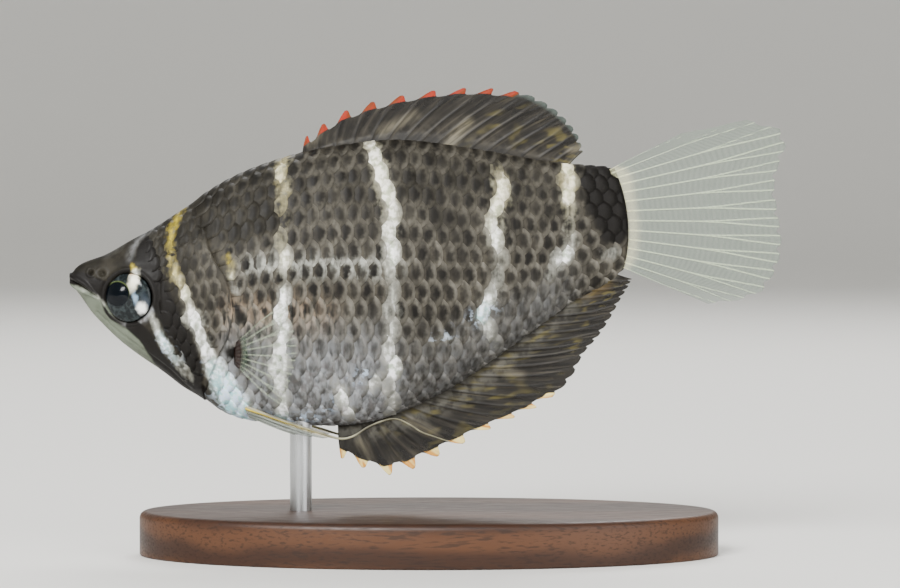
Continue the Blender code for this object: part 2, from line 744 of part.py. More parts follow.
def shade_all():
    for made in bpy.context.scene.collection.objects:
        made.data.shade_smooth()
        made.data.set_sharp_from_angle(angle=SMOOTH_ANGLE)


def main():
    clear_scene()
    skin = make_material("chocolate_skin", (0.07, 0.05, 0.045), 0.4)
    dark_fin = make_material("dark_fin", (0.05, 0.042, 0.035), 0.5)
    clear_fin = make_material("clear_fin", (0.55, 0.6, 0.55), 0.35, alpha=0.5)
    eye = make_material("eye", (0.01, 0.015, 0.02), 0.08)
    wood = make_material("walnut", (0.12, 0.06, 0.03), 0.45)
    steel = make_material("steel", (0.6, 0.6, 0.6), 0.3, metallic=1.0)
    make_parted_body(skin)
    make_dorsal_fin(dark_fin)
    make_anal_fin(dark_fin)
    make_caudal_fin(clear_fin)
    for side, name in ((-1, "eye_left"), (1, "eye_right")):
        eye_shape(name, side, 0, eye)
        make_pectoral_fin(side, clear_fin)
        make_pelvic_fin(side, dark_fin)
    make_stand(wood, steel)
    shade_all()


main()
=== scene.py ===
"""Looks of the chocolate gourami model: skin, scales, fins, eyes, stand, light and camera.

Shapes are worked out in mm, in the frame's axes, and turned to metres when a mesh is finished:
+X towards the tail, +Z up, the left flank faces -Y. Outlines repeat the named values of the solids.
"""

import json
import math

import bmesh
import bpy
import numpy as np
from mathutils import Matrix, Vector

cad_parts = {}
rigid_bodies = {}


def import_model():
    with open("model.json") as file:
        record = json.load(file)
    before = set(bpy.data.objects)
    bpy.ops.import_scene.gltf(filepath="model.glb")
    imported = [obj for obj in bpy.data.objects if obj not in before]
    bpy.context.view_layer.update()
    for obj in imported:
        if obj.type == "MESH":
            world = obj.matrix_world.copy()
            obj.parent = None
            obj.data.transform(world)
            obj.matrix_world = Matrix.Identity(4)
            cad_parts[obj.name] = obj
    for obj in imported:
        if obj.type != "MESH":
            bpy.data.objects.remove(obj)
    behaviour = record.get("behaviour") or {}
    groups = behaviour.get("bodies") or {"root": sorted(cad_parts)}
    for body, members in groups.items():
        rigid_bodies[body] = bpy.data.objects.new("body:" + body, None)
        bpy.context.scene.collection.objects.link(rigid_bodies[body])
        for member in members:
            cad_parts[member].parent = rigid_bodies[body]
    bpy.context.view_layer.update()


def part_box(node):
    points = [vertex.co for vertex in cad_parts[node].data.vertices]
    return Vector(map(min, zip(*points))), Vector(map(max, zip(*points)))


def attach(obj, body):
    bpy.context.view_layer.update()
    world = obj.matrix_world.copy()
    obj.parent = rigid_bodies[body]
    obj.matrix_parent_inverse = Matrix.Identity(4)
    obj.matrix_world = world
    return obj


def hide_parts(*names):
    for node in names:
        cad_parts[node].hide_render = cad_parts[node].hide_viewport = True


MM = 0.001
MERGE = 0.0005
FINE_MERGE = 0.0001
QUARTER = math.pi / 2

# Body outlines from the side, (x, z), from the snout to the tail base
BACK = [
    (-25.9, 20.35), (-25.6, 20.8), (-25.0, 21.2), (-23.5, 21.75), (-21.9, 22.65),
    (-20.3, 23.6), (-18.0, 25.1), (-14.9, 27.1), (-12.5, 28.2), (-9.3, 29.2),
    (-6.4, 29.8), (-2.1, 30.2), (3.7, 29.5), (9.5, 28.5), (13.4, 28.15),
]
BELLY = [
    (-25.9, 19.75), (-25.6, 19.2), (-25.3, 18.8), (-24.3, 17.4), (-21.9, 15.1), (-17.8, 12.3),
    (-15.6, 10.7), (-14.1, 9.95), (-12.5, 9.6), (-9.2, 9.35), (-6.1, 9.3), (-4.0, 9.6),
    (-2.1, 10.2), (1.5, 11.9), (5.1, 14.3), (8.8, 17.0), (11.6, 19.1), (13.4, 20.5),
]
WIDEST_LEVEL = [
    (-25.9, 20.0), (-21.6, 18.7), (-16.6, 18.5), (-9.3, 19.0), (-2.1, 20.0), (5.1, 21.7), (13.4, 24.3),
]
HALF_WIDTH = [
    (-25.9, 0.3), (-25.4, 0.75), (-23.5, 1.4), (-21.6, 2.1), (-19.0, 2.75), (-16.0, 3.3), (-12.0, 3.75),
    (-8.0, 3.85), (-4.0, 3.65), (0.0, 3.15), (4.0, 2.5), (8.0, 1.75), (11.5, 1.05), (13.4, 0.55),
]
SNOUT_X = BACK[0][0]
TAIL_BASE_X = BACK[-1][0]
RIDGE = 1.12
TAIL_BOW_START_X = 9.8
TAIL_BOW = 0.65
TAIL_LEAN = 0.7

# How closely the skin's rings stand: the snout, the head and the flanks, each up to its x
SKIN_RINGS = [(-25.9, 0), (-24.0, 60), (-13.7, 136), (13.4, 100)]
SKIN_ROUND = 280
SKIN_CROWDING = 0.2
SNOUT_CAP = 0.13
CAP_RINGS = 10
CAP_START = 0.02
SCALY_INSET = 0.17
NAKED_INSET = 0.03

# Gill opening and the groove in front of the cover, (x, z)
GILL_LINE = [
    (-17.1, 29.6), (-16.9, 26.0), (-16.2, 23.9), (-15.6, 21.9), (-14.6, 20.3), (-14.0, 18.1), (-14.3, 16.1),
    (-15.0, 14.7), (-15.7, 13.0), (-16.2, 11.1), (-16.3, 7.6),
]
COVER_FRONT = [
    (-17.0, 23.0), (-18.1, 22.5), (-18.9, 21.3), (-19.4, 19.5), (-19.2, 17.4), (-18.4, 15.4), (-17.3, 13.5),
]
COVER_HEIGHTS = (11.3, 12.6, 22.4, 23.7)
COVER_RISE = (-4.6, -0.3)
COVER_FLARE = 0.24
COVER_GROOVE = (0.09, 0.14)
GILL_LIP = (-0.03, 0.04)
GILL_DEPTH = 0.32
GILL_WIDTH = 0.3

# Mouth: the gape's line from its corner to the front of the snout, (x, z)
GAPE = [(-26.1, 19.98), (-25.85, 19.86), (-25.2, 19.52), (-24.6, 19.14), (-23.95, 18.7)]
GAPE_CORNER_X = -23.95
GAPE_FRONT_X = -25.85
GAPE_STEPS = 10
LIP_HEIGHT = 0.2
LIP_MIDDLE = 0.3
LIP_WIDTH = 0.2
LIP_CORNER = 0.4
LIP_GROWTH = 0.6
SLIT_GROWTH = 0.15
SLIT_DEPTH = 0.3
SLIT_WIDTH = 0.075
JAW_CREASE = (0.07, 0.1)
JAW_CREASES = [
    [(-23.95, 18.7), (-23.5, 18.0), (-23.3, 17.2), (-23.2, 16.6)],
    [(-24.0, 17.6), (-22.6, 16.3), (-20.9, 15.05), (-18.9, 13.6), (-17.2, 12.2)],
]

# Eye: a shallow globe that looks out and a little forwards
EYE = (-21.6, 1.85, 18.7)
EYE_RADIUS = 1.75
EYE_FRONT = 0.55
EYE_BACK = 1.1
EYE_TURN = math.radians(17)
PUPIL = (-22.4, 18.96)
PUPIL_RADIUS = 0.87
EYE_SIDES = (72, 48)
EYE_CLEARANCE = 0.02
LENS_ROOM = 0.1
LENS_BULGE = 0.12
LENS_EDGE = (0.2, 1.0)
LID_RADIUS = 2.02
LID_HEIGHT = 0.13
LID_WIDTH = 0.17
SOCKET_EDGE = (1.64, 1.84)
SOCKET_DEPTH = 1.2
BROW = (-22.0, 21.15)
BROW_SIZE = (1.8, 0.45)
BROW_HEIGHT = 0.1

# Nostrils, (x, z, radius). The rim's place, width and height and the pit's width and depth are for a
# radius of 1
NOSTRILS = [(-24.4, 20.5, 0.19), (-23.6, 20.45, 0.24)]
NOSTRIL_RIM = (1.5, 0.5, 0.05)
NOSTRIL_PIT = (0.75, 0.28)

# Where the skin is scaly: how the front edge leans, and how far the throat's scales keep from its edges
SCALY_FRONT = (-20.9, -18.7)
SCALY_LEAN = (0.25, 20.0)
SCALY_THROAT = (0.35, 0.9)
THROAT_END_X = -16.2
JAW_MARGIN = 0.4
BELLY_MARGIN = 1.0

# Scales: the pitch along a row and the height of a row, by x, and one plate's build
COLUMN_PITCH = [(-22.0, 0.48), (-17.0, 0.72), (-13.0, 0.93), (4.0, 0.97), (9.0, 0.9), (13.4, 0.75)]
ROW_HEIGHT = [
    (-22.0, 0.6), (-19.5, 0.84), (-15.0, 1.17), (-9.0, 1.34), (-2.0, 1.42), (5.0, 1.3), (10.0, 1.1),
    (13.4, 0.98),
]
PLATE_COLUMNS = 7
PLATE_ROWS = 4
PLATE_FRONT = 1.15
PLATE_REAR = 0.95
PLATE_REACH = 0.74
PLATE_ROUNDING = 0.9
PLATE_WAIST = (0.7, 0.45)
PLATE_LOW = -0.02
PLATE_HIGH = 0.125
PLATE_DOME = 0.03
PLATE_THICKNESS = 0.035
HEAD_PLATE_LIFT = 0.22
RIDGE_GAP = 0.02
SLOPE_STEP = 0.1
FIRST_SINK = 0.1
FIRST_SCALE_X = -21.0
LAST_SCALE_X = 12.5
LAST_ROW_OVER = 0.3
LAST_ROW_IN = 0.2
LEAST_SCALINESS = 0.4
BARE_AT_GILL = (-0.6, -0.02)
BARE_ROUND_EYE = 2.6
SCALE_SHIFT = 0.03
SCALE_SPREAD = 0.03
SCALE_SEED = 11
GIRTH_STEPS = 240
SPOT_MIDDLE = (0.5, 0.74, 0)
SPOT_NARROWING = (4.0, 7.4, 0)
BAKE_PATCH = 0.003
BAKE_MARGIN = 1
BAKE_REACH = 0.48

# How far a marking keeps to whole scales, so that its edge steps from scale to scale
STEPPED = {"pale": 0.4, "gold": 0.4}
STEPPED_ELSE = 0.25

# Markings: strokes of (x, z, half width, strength), with soft edges
STROKE_EDGE = (0.3, 0.42)
PALE_STROKES = {
    "shoulder": [
        (-17.8, 25.3, 0.14, 0.7), (-18.25, 24.23, 0.18, 0.85), (-18.6, 23.2, 0.2, 0.85),
        (-18.55, 22.3, 0.16, 0.75), (-18.42, 21.4, 0.14, 0.7), (-18.19, 20.3, 0.3, 1.0),
        (-17.8, 19.6, 0.18, 0.8), (-17.4, 18.9, 0.36, 1.0), (-17.2, 18.2, 0.2, 0.75),
        (-16.92, 17.5, 0.62, 1.0), (-16.5, 16.5, 0.42, 0.85), (-16.2, 15.5, 0.44, 0.85),
        (-15.8, 14.6, 0.5, 0.8), (-15.2, 13.2, 0.8, 0.85), (-14.4, 11.8, 1.0, 1.0),
        (-13.6, 10.4, 0.95, 1.0), (-13.2, 9.8, 0.8, 1.0),
    ],
    "first": [
        (-10.54, 28.8, 0.3, 0.85), (-10.72, 27.3, 0.36, 0.85), (-10.33, 25.75, 0.3, 0.85),
        (-10.48, 24.5, 0.2, 0.5), (-10.48, 22.6, 0.26, 0.75), (-10.33, 21.04, 0.4, 1.0),
        (-10.36, 19.98, 0.25, 0.4), (-10.33, 18.96, 0.34, 0.9), (-10.54, 16.9, 0.42, 1.0),
        (-10.48, 15.1, 0.42, 1.0), (-10.8, 13.4, 0.55, 0.95), (-10.62, 12.0, 0.42, 0.9),
        (-10.54, 10.3, 0.55, 0.85),
    ],
    "second": [
        (-4.09, 29.8, 0.35, 1.0), (-3.68, 28.6, 0.52, 1.0), (-3.27, 26.9, 0.6, 1.0),
        (-2.85, 25.7, 0.5, 1.0), (-2.7, 24.4, 0.48, 1.0), (-2.68, 23.1, 0.42, 0.95),
        (-2.64, 21.4, 0.55, 1.0), (-2.64, 20.3, 0.32, 0.65), (-2.57, 18.7, 0.42, 0.65),
        (-2.64, 16.9, 0.46, 0.7), (-2.78, 15.1, 0.42, 0.75), (-2.64, 13.9, 0.6, 1.0),
        (-2.6, 12.4, 0.42, 0.7), (-2.78, 10.6, 0.5, 0.65),
    ],
    "third": [
        (5.07, 28.0, 0.18, 0.8), (5.25, 26.9, 0.48, 1.0), (5.07, 25.3, 0.48, 1.0), (4.74, 24.5, 0.4, 0.95),
        (4.72, 23.2, 0.56, 1.0), (5.15, 21.4, 0.34, 0.6), (4.8, 19.5, 0.44, 0.6), (4.2, 18.2, 0.55, 0.9),
        (3.67, 17.3, 0.4, 0.9), (4.3, 16.3, 0.4, 0.7), (4.8, 15.4, 0.35, 0.4),
    ],
    "fourth": [
        (9.99, 28.5, 0.4, 1.0), (10.07, 27.0, 0.48, 1.0), (9.99, 25.6, 0.42, 1.0),
        (10.25, 24.4, 0.25, 0.65), (10.17, 23.2, 0.25, 0.7), (10.1, 22.3, 0.36, 0.95),
        (9.64, 21.6, 0.42, 1.0), (9.2, 20.9, 0.34, 0.8), (8.77, 20.0, 0.2, 0.45),
    ],
    "streak": [(-14.4, 21.7, 0.12, 0.85), (-14.1, 20.3, 0.2, 1.05), (-13.6, 18.8, 0.16, 0.85)],
    "cheek": [
        (-19.9, 17.5, 0.16, 0.75), (-19.4, 16.2, 0.28, 0.75), (-19.05, 15.4, 0.32, 0.8),
        (-18.4, 14.5, 0.38, 0.6), (-17.7, 13.6, 0.36, 0.5), (-17.2, 12.9, 0.25, 0.4),
    ],
    "eye_top": [(-21.3, 20.95, 0.12, 0.9), (-21.15, 20.65, 0.2, 1.0), (-21.05, 20.1, 0.2, 1.0)],
    "flank_blotch": [
        (-6.9, 13.0, 0.12, 0.5), (-6.35, 12.1, 0.4, 1.0), (-6.1, 11.4, 0.42, 1.0),
        (-5.7, 10.3, 0.35, 0.85),
    ],
    "blotch_rear": [(-4.9, 11.7, 0.2, 0.5), (-4.1, 12.3, 0.35, 0.7), (-3.2, 13.2, 0.3, 0.8)],
    "rear_specks": [(-1.5, 15.5, 0.15, 0.6), (-1.2, 15.6, 0.15, 0.6)],
    "rear_line": [(0.3, 15.7, 0.12, 0.6), (1.3, 15.9, 0.16, 0.75), (1.9, 15.3, 0.12, 0.4)],
    "tail_foot": [(12.3, 21.2, 0.3, 0.42), (13.4, 22.0, 0.5, 0.42)],
    "lip": [(-25.3, 19.42, 0.04, 0.55), (-24.1, 18.85, 0.06, 0.6), (-23.4, 18.2, 0.08, 0.5)],
}
SOFT_STROKES = {
    "nape": [
        (-19.7, 23.95, 0.1, 0.7), (-20.6, 23.2, 0.12, 0.9), (-21.3, 22.3, 0.12, 0.9),
        (-21.6, 21.5, 0.12, 0.8),
    ],
    "brow": [(-23.4, 21.7, 0.1, 0.3), (-22.3, 22.4, 0.15, 0.3)],
}
GOLD_SHARE = {
    "shoulder": 1.0, "streak": 1.0, "eye_top": 1.2,
    "first": 0.55, "second": 0.28, "third": 0.42, "fourth": 0.5,
}
GOLD_WAY = (0.1, 0.65)
LEAST_PALE = 0.02
BLUE_STROKES = {
    "chest": [(-15.5, 13.8, 0.5, 0.5), (-14.6, 12.0, 0.9, 1.0), (-13.7, 10.3, 0.9, 1.0)],
    "cheek": [(-19.3, 16.0, 0.2, 0.5), (-18.9, 15.2, 0.25, 0.7), (-18.2, 14.2, 0.2, 0.4)],
    "edge": [
        (-12.3, 10.2, 0.15, 0.7), (-11.2, 9.95, 0.2, 0.9), (-9.8, 9.9, 0.2, 0.9), (-8.3, 10.1, 0.25, 1.0),
    ],
    "edge_rear": [(-7.4, 10.5, 0.15, 0.9), (-7.0, 11.3, 0.15, 0.7)],
    "blotch_rear": [(-5.3, 12.7, 0.15, 0.8), (-4.6, 13.4, 0.2, 0.8)],
    "speck": [(0.4, 15.7, 0.1, 0.6), (1.4, 15.9, 0.12, 0.7)],
    "third_foot": [(3.3, 17.1, 0.3, 0.7), (4.3, 17.9, 0.3, 0.8)],
}
DARK_STROKES = {
    "snout": [
        (-26.1, 20.15, 0.4, 1.0), (-25.0, 20.0, 0.4, 1.0), (-24.1, 19.55, 0.5, 1.0),
        (-23.1, 19.1, 0.6, 1.0),
    ],
    "below_eye": [
        (-21.3, 16.7, 0.45, 1.0), (-20.3, 15.7, 0.42, 1.0), (-19.8, 14.8, 0.42, 1.0),
        (-19.1, 13.8, 0.42, 1.0), (-18.2, 12.95, 0.4, 1.0), (-17.2, 12.4, 0.5, 1.0),
        (-16.5, 11.8, 0.55, 1.0),
    ],
    "cheek": [
        (-20.6, 23.0, 0.5, 0.85), (-20.2, 21.2, 0.75, 0.9), (-19.35, 19.0, 0.8, 0.85),
        (-18.6, 17.4, 0.8, 0.85), (-17.9, 16.0, 0.7, 0.8), (-17.1, 14.5, 0.6, 0.8),
        (-16.7, 13.0, 0.5, 0.8),
    ],
    "fin_root": [(-14.1, 14.8, 0.35, 0.9), (-13.5, 14.6, 0.45, 0.95), (-13.0, 14.3, 0.35, 0.8)],
    "peduncle": [
        (12.3, 27.3, 1.2, 1.0), (12.8, 26.2, 1.6, 1.0), (13.2, 25.0, 1.4, 1.0), (13.4, 23.6, 1.0, 0.8),
    ],
    "below_streak": [(-13.9, 18.4, 0.3, 0.6), (-13.3, 17.3, 0.4, 0.6), (-13.0, 16.5, 0.3, 0.4)],
}
JAW_BAND = [
    (-26.3, 19.75), (-24.4, 19.1), (-23.3, 18.2), (-22.5, 16.9), (-21.2, 16.1), (-19.8, 14.2),
    (-18.6, 13.0),
]

# Soft zones of the markings: between which x or z each comes in or fades, or its middle and width
BODY_START = (-19.0, -15.0)
BACK_LEVELS = (21.0, 27.0)
NET_LEVELS = (22.0, 27.0)
NAPE_LEVELS = (21.5, 23.5)
NAPE_END = (-11.5, -9.5)
BELLY_LEVELS = (18.5, 12.5)
BELLY_SPAN = (-15.5, -14.0, -5.0, 1.0)
PALE_ROW = (21.0, 0.7)
PALE_ROW_SPAN = (-14.0, -12.5, -3.5, -1.0)
SPOT_ROW = (19.85, 0.5)
SPOT_ROW_SPAN = (-14.0, -12.5, -4.5, -2.5)
WARM_ROW = (17.4, 1.3)
WARM_SPAN = (-15.4, -14.0, -8.5, -5.5)
ANAL_LINE = (-6.45, 9.4, 0.518)
SHEATH_HEIGHT = (4.6, 0.6)
SHEATH_SPAN = (-7.0, 0.0, 9.0, 12.0)
COVER_MIDDLE = (-15.6, 18.4)
COVER_SIZE = (1.3, 2.6)
EYE_RING = (1.95, 0.2)
CRESCENT = (-0.6, 0.2)
SNOUT_EDGE = (-0.2, 0.3)
JAW_EDGE = 0.15
JAW_END = (-18.8, -17.8)

# The net round the scales: its strength low and high on the body and on the head, and what zones take off
NET_STRENGTH = (0.8, 0.42)
NET_ON_HEAD = 0.12
NET_LOSS = {"nape": 0.5, "belly": 0.5, "spot_row": 0.6, "sheath": 0.65, "cover": 0.5}
SPOT_ON_HEAD = 0.2

# Paint on the fins, in strokes as above
DORSAL_PALE = {
    "bar": [(2.8, 31.4, 0.25, 1.0), (1.8, 30.2, 0.3, 0.9), (1.2, 29.2, 0.3, 0.8)],
    "front": [(-8.6, 29.8, 0.15, 0.7), (-7.6, 30.9, 0.1, 0.5)],
    "last": [(10.2, 29.3, 0.2, 0.6), (11.1, 29.4, 0.2, 0.8)],
    "middle": [(-3.6, 30.6, 0.2, 0.6), (-1.0, 31.9, 0.2, 0.6)],
}
ANAL_PALE = {
    "heel": [(12.6, 21.0, 0.25, 0.6), (13.8, 20.8, 0.25, 0.6)],
    "front": [(-5.0, 8.2, 0.2, 0.5), (-4.4, 7.0, 0.2, 0.4)],
    "middle": [(-1.4, 9.6, 0.2, 0.5), (0.4, 8.9, 0.2, 0.5)],
    "rear": [(5.0, 13.6, 0.2, 0.5), (6.6, 13.0, 0.25, 0.5)],
}
ANAL_RUST = {"heel": [(10.9, 19.0, 0.3, 0.7), (11.7, 19.2, 0.45, 1.0), (12.8, 19.6, 0.35, 0.9)]}
DORSAL_PAINT = {"pale": DORSAL_PALE}
ANAL_PAINT = {"pale": ANAL_PALE, "rust": ANAL_RUST}

# Attributes that the paint on the skin and on the fins reads
SKIN_MASKS = (
    "pale", "gold", "dark", "silver", "blue", "jaw", "warm", "net", "band", "dusk", "spot", "chance",
)
FIN_MASKS = ("ray", "along", "flag", "number", "pale", "rust")

# The eye's paint: middle (x, z), half sizes, tilt, softness of the edge, ragged or clean, colour
EYE_PAINT = [
    ((-20.25, 18.2), (0.3, 0.8), 0.35, 0.9, "ragged", "30373f"),
    ((-21.15, 20.05), (0.34, 0.8), -0.3, 0.6, "ragged", "f4efd6"),
    ((-21.3, 20.6), (0.28, 0.2), 0.0, 0.5, "ragged", "b97a28"),
    ((-21.1, 18.7), (0.15, 0.4), 0.2, 0.9, "ragged", "7f94a6"),
    ((-20.6, 17.95), (0.34, 0.38), 0.3, 0.65, "ragged", "f4f6f2"),
    ((-22.38, 19.05), (0.87, 0.87), 0.0, 0.04, "clean", "3f482a"),
    ((-22.4, 18.96), (0.87, 0.87), 0.0, 0.05, "clean", "02060b"),
]

# Fins: rays and their build, as in the solids
DORSAL_RAYS = 17
DORSAL_SPINES = 8
DORSAL_BOW = 0.07
DORSAL_BASE_X = (-9.3, 10.0)
DORSAL_TIPS = [
    (-8.9, 30.3), (-6.1, 32.15), (-2.1, 33.25), (2.45, 33.8), (6.2, 33.6), (8.4, 32.75), (9.85, 31.6),
    (10.8, 30.35), (11.15, 29.2),
]
ANAL_RAYS = 24
ANAL_SPINES = 9
ANAL_BOW = -0.05
ANAL_BASE_X = (-6.6, 12.9)
ANAL_TIPS = [
    (-6.4, 7.0), (-2.75, 5.75), (0.9, 7.25), (4.8, 9.3), (8.2, 10.9), (10.2, 12.7), (11.2, 14.6),
    (12.2, 15.75), (13.1, 17.1), (13.8, 18.4), (14.4, 19.4), (14.7, 20.0),
]
CAUDAL_RAYS = 14
CAUDAL_TURNS = (math.radians(70), math.radians(-62))
CAUDAL_TIPS = [
    (18.2, 30.5), (23.0, 31.5), (25.4, 30.85), (25.85, 29.6), (25.3, 28.2), (25.0, 26.8), (25.15, 25.35),
    (25.35, 24.1), (25.5, 22.8), (25.35, 21.5), (24.9, 20.3), (24.1, 19.1), (22.4, 18.45), (20.2, 18.2),
]
CAUDAL_FORK = 0.45
CAUDAL_SWAY = 0.35
NO_FORK = 2.0
UPRIGHT_FORK = 0.6
FORK_PARTING = 0.24
SPINE_STEP = 0.85
SOFT_STEP = 0.3
DEEPEST_NOTCH = 0.6
THICK_ROOT = 0.22
FLAG_EDGE = 0.25
FLAG_REACH = 0.4
SPINE_NOTCH = (0.06, 0.5, 0.78, 1.0)
SOFT_NOTCH = ((0, 0.25, 0.5, 0.75, 1), (0, 0.14, 1, 0.14, 0))
PECTORAL_RAYS = 9
PECTORAL_X = -13.75
PECTORAL_Z = 14.7
PECTORAL_BASE = 1.5
PECTORAL_LENGTH = 6.3
PECTORAL_OUT = math.radians(44)
PECTORAL_SPREAD = math.radians(33)
PECTORAL_LONGEST = 0.4
PECTORAL_ROUNDING = 0.3
PECTORAL_BOW = (-0.2, 0.3)
PECTORAL_SINK = 0.2
PECTORAL_FORK = 0.5
PECTORAL_STEP = 0.12
PELVIC_ROOT_X = (-13.2, -12.9)
PELVIC_ROOT_Y = (1.5, 0.85)
PELVIC_BOW = (0.2, -0.2)
PELVIC_SINK = 0.15
PELVIC_TIPS = [(-6.4, 2.1, 8.55), (-7.6, 1.95, 8.6), (-8.6, 1.75, 8.7), (-9.7, 1.5, 8.85)]
PELVIC_THREAD = [
    (-5.4, 2.1, 8.75), (-4.35, 2.0, 9.4), (-3.2, 1.9, 9.85), (-2.3, 1.85, 9.95), (-1.4, 1.8, 9.55),
    (-0.5, 1.8, 9.0), (0.5, 1.85, 8.65), (1.55, 1.95, 8.3),
]
THREAD_RADIUS = 0.11
THREAD_TAPER = 0.65
THREAD_STEPS = 90
THREAD_START_STEPS = 6
ROOT_SINK = 0.45
ROOT_STEPS = 13

# A fin's build: steps from ray to ray and along a ray; its thickness at the root, at a ray's foot, at its tip
# and in the membrane; a ray's width
UPRIGHT_BUILD = (12, 40, 0.6, 0.3, 0.14, 0.1, 0.12)
CAUDAL_BUILD = (16, 60, 0.34, 0.26, 0.12, 0.07, 0.07)
PECTORAL_BUILD = (12, 30, 0.5, 0.22, 0.08, 0.06, 0.06)
PELVIC_BUILD = (8, 24, 0.4, 0.26, 0.16, 0.1, 0.1)

# Stand
BASE_SIDES = 160
BASE_ROUNDING = 0.5
BASE_FOOT = 0.15
BEVEL_STEPS = 6
ROD_SIDES = 48
SHARP = math.radians(40)

# Stage and light, in metres: the bowl's flat floor, curve and wall, and the soft boxes
FLOOR_RADIUS = 0.6
BOWL_CURVE = 0.35
BOWL_STEPS = 12
WALL_HEIGHT = 1.1
BOWL_SIDES = 96
SKY = ("e9eef2", 0.55)
SOFT_BOXES = [
    ("key", (-0.15, -0.37, 0.29), 0.2, 4.9),
    ("fill", (0.3, -0.3, 0.14), 0.3, 1.2),
    ("back", (0.05, 0.3, 0.34), 0.25, 1.7),
]
LIGHT_AIM = (0, 0, 0.019)

# Photograph's view: a long lens from the left side, the fish in pure profile
LENS = 150.0
SENSOR = 36.0
CLIP_START = 0.01
FRAME_WIDTH = 65.2
AIM = (1.52, 0.0, 18.9)
ELEVATION = math.radians(2.0)


def smoothstep(low, high, value):
    """From 0 at low to 1 at high, or downwards where low is the greater, with a soft start and end."""
    t = np.clip((value - low) / (high - low), 0, 1)
    return t * t * (3 - 2 * t)


def within(value, start, full, end, gone):
    """From 0 up to 1 from start to full, and down to 0 again from end to gone."""
    return smoothstep(start, full, value) * (1 - smoothstep(end, gone, value))


def mix(first, second, share):
    """A share of the way from the first value to the second."""
    return first + (second - first) * share


def bell(value, width):
    """1 at a value of 0, falling off softly on both sides."""
    return np.exp(-((value / width) ** 2))


def smooth_line(points):
    """A function of x that runs smoothly through (x, value) points."""
    xs, values = np.array(points, float).T
    index = np.arange(len(xs))
    before = np.maximum(index - 1, 0)
    after = np.minimum(index + 1, len(xs) - 1)
    slopes = (values[after] - values[before]) / (xs[after] - xs[before])

    def value_at(x):
        x = np.clip(x, xs[0], xs[-1])
        i = np.clip(np.searchsorted(xs, x, side="right") - 1, 0, len(xs) - 2)
        span = xs[i + 1] - xs[i]
        t = (x - xs[i]) / span
        bend = t * (1 - t) * ((1 - t) * slopes[i] - t * slopes[i + 1]) * span
        return mix(values[i], values[i + 1], t * t * (3 - 2 * t)) + bend

    return value_at


def smooth_path(points, shares):
    """Places at shares from 0 to 1 of a smooth path through evenly spaced points of any size."""
    points = np.array(points, float)
    spans = len(points) - 1
    way = np.array(shares, float) * spans
    i = np.minimum(way.astype(int), spans - 1)
    t = (way - i)[..., None]
    p0, p1, p2, p3 = (points[np.clip(i + k, 0, spans)] for k in (-1, 0, 1, 2))
    bend = (2 * p0 - 5 * p1 + 4 * p2 - p3) * t**2 + (3 * p1 - p0 - 3 * p2 + p3) * t**3
    return p1 + ((p2 - p0) * t + bend) / 2


def dense(points, steps=6):
    """A smooth path through points, as many short steps."""
    return smooth_path(points, np.linspace(0, 1, steps * (len(points) - 1) + 1))


def nearest(places, path):
    """Each place's distance to a path, and the share of the path's way where it is nearest."""
    gaps = np.full(len(places), np.inf)
    ways = np.zeros(len(places))
    for k, (start, end) in enumerate(zip(path, path[1:])):
        along = end - start
        t = np.clip((places - start) @ along / (along @ along), 0, 1)
        gap = np.linalg.norm(places - start - t[:, None] * along, axis=1)
        closer = gap < gaps
        gaps[closer] = gap[closer]
        ways[closer] = (k + t[closer]) / (len(path) - 1)
    return gaps, ways


back_z = smooth_line(BACK)
belly_z = smooth_line(BELLY)
widest_z = smooth_line(WIDEST_LEVEL)
half_width = smooth_line(HALF_WIDTH)
column_pitch = smooth_line(COLUMN_PITCH)
row_height = smooth_line(ROW_HEIGHT)
gape_z = smooth_line(GAPE)
jaw_band_z = smooth_line(JAW_BAND)


def body_point(x, turn):
    """Points of the body's outer shape: places along it, and turns round it from the left flank upwards."""
    rise = np.sin(turn)
    out = np.cos(turn)
    level = widest_z(x)
    reach = np.where(rise > 0, back_z(x), belly_z(x)) - level
    bow = TAIL_BOW * (1 - rise**2) + TAIL_LEAN * (1 - rise) / 2
    back = bow * smoothstep(TAIL_BOW_START_X, TAIL_BASE_X, x)
    side = np.sign(out) * np.abs(out) ** RIDGE
    return np.stack([x + back, -half_width(x) * side, level + np.abs(rise) * reach], -1)


def body_lifted(x, turn, lift):
    """Points off the body's outer shape, by a lift along its own outward direction."""
    step = 0.02
    along = body_point(x + step, turn) - body_point(x - step, turn)
    around = body_point(x, turn + step) - body_point(x, turn - step)
    outward = np.cross(along, around)
    outward /= np.linalg.norm(outward, axis=-1, keepdims=True)
    return body_point(x, turn) + outward * lift[..., None]


def flank_y(x, z):
    """Half of the body's width at a place seen from the side."""
    level = widest_z(x)
    reach = np.where(z > level, back_z(x), belly_z(x)) - level
    share = np.clip((z - level) / reach, 0, 1)
    return half_width(x) * (1 - share**2) ** (RIDGE / 2)


def gill_x(z):
    """Where the gill opening lies at a height."""
    line = dense(GILL_LINE)[::-1]
    return np.interp(z, line[:, 1], line[:, 0])


def scaliness(x, z):
    """From 0 on the naked snout, jaws and throat to 1 where the scales are full."""
    lean, level = SCALY_LEAN
    front = smoothstep(*SCALY_FRONT, x + lean * (z - level))
    edge = np.where(x < THROAT_END_X, jaw_band_z(x) - JAW_MARGIN, belly_z(x) - BELLY_MARGIN)
    return front * smoothstep(*SCALY_THROAT, z - edge)


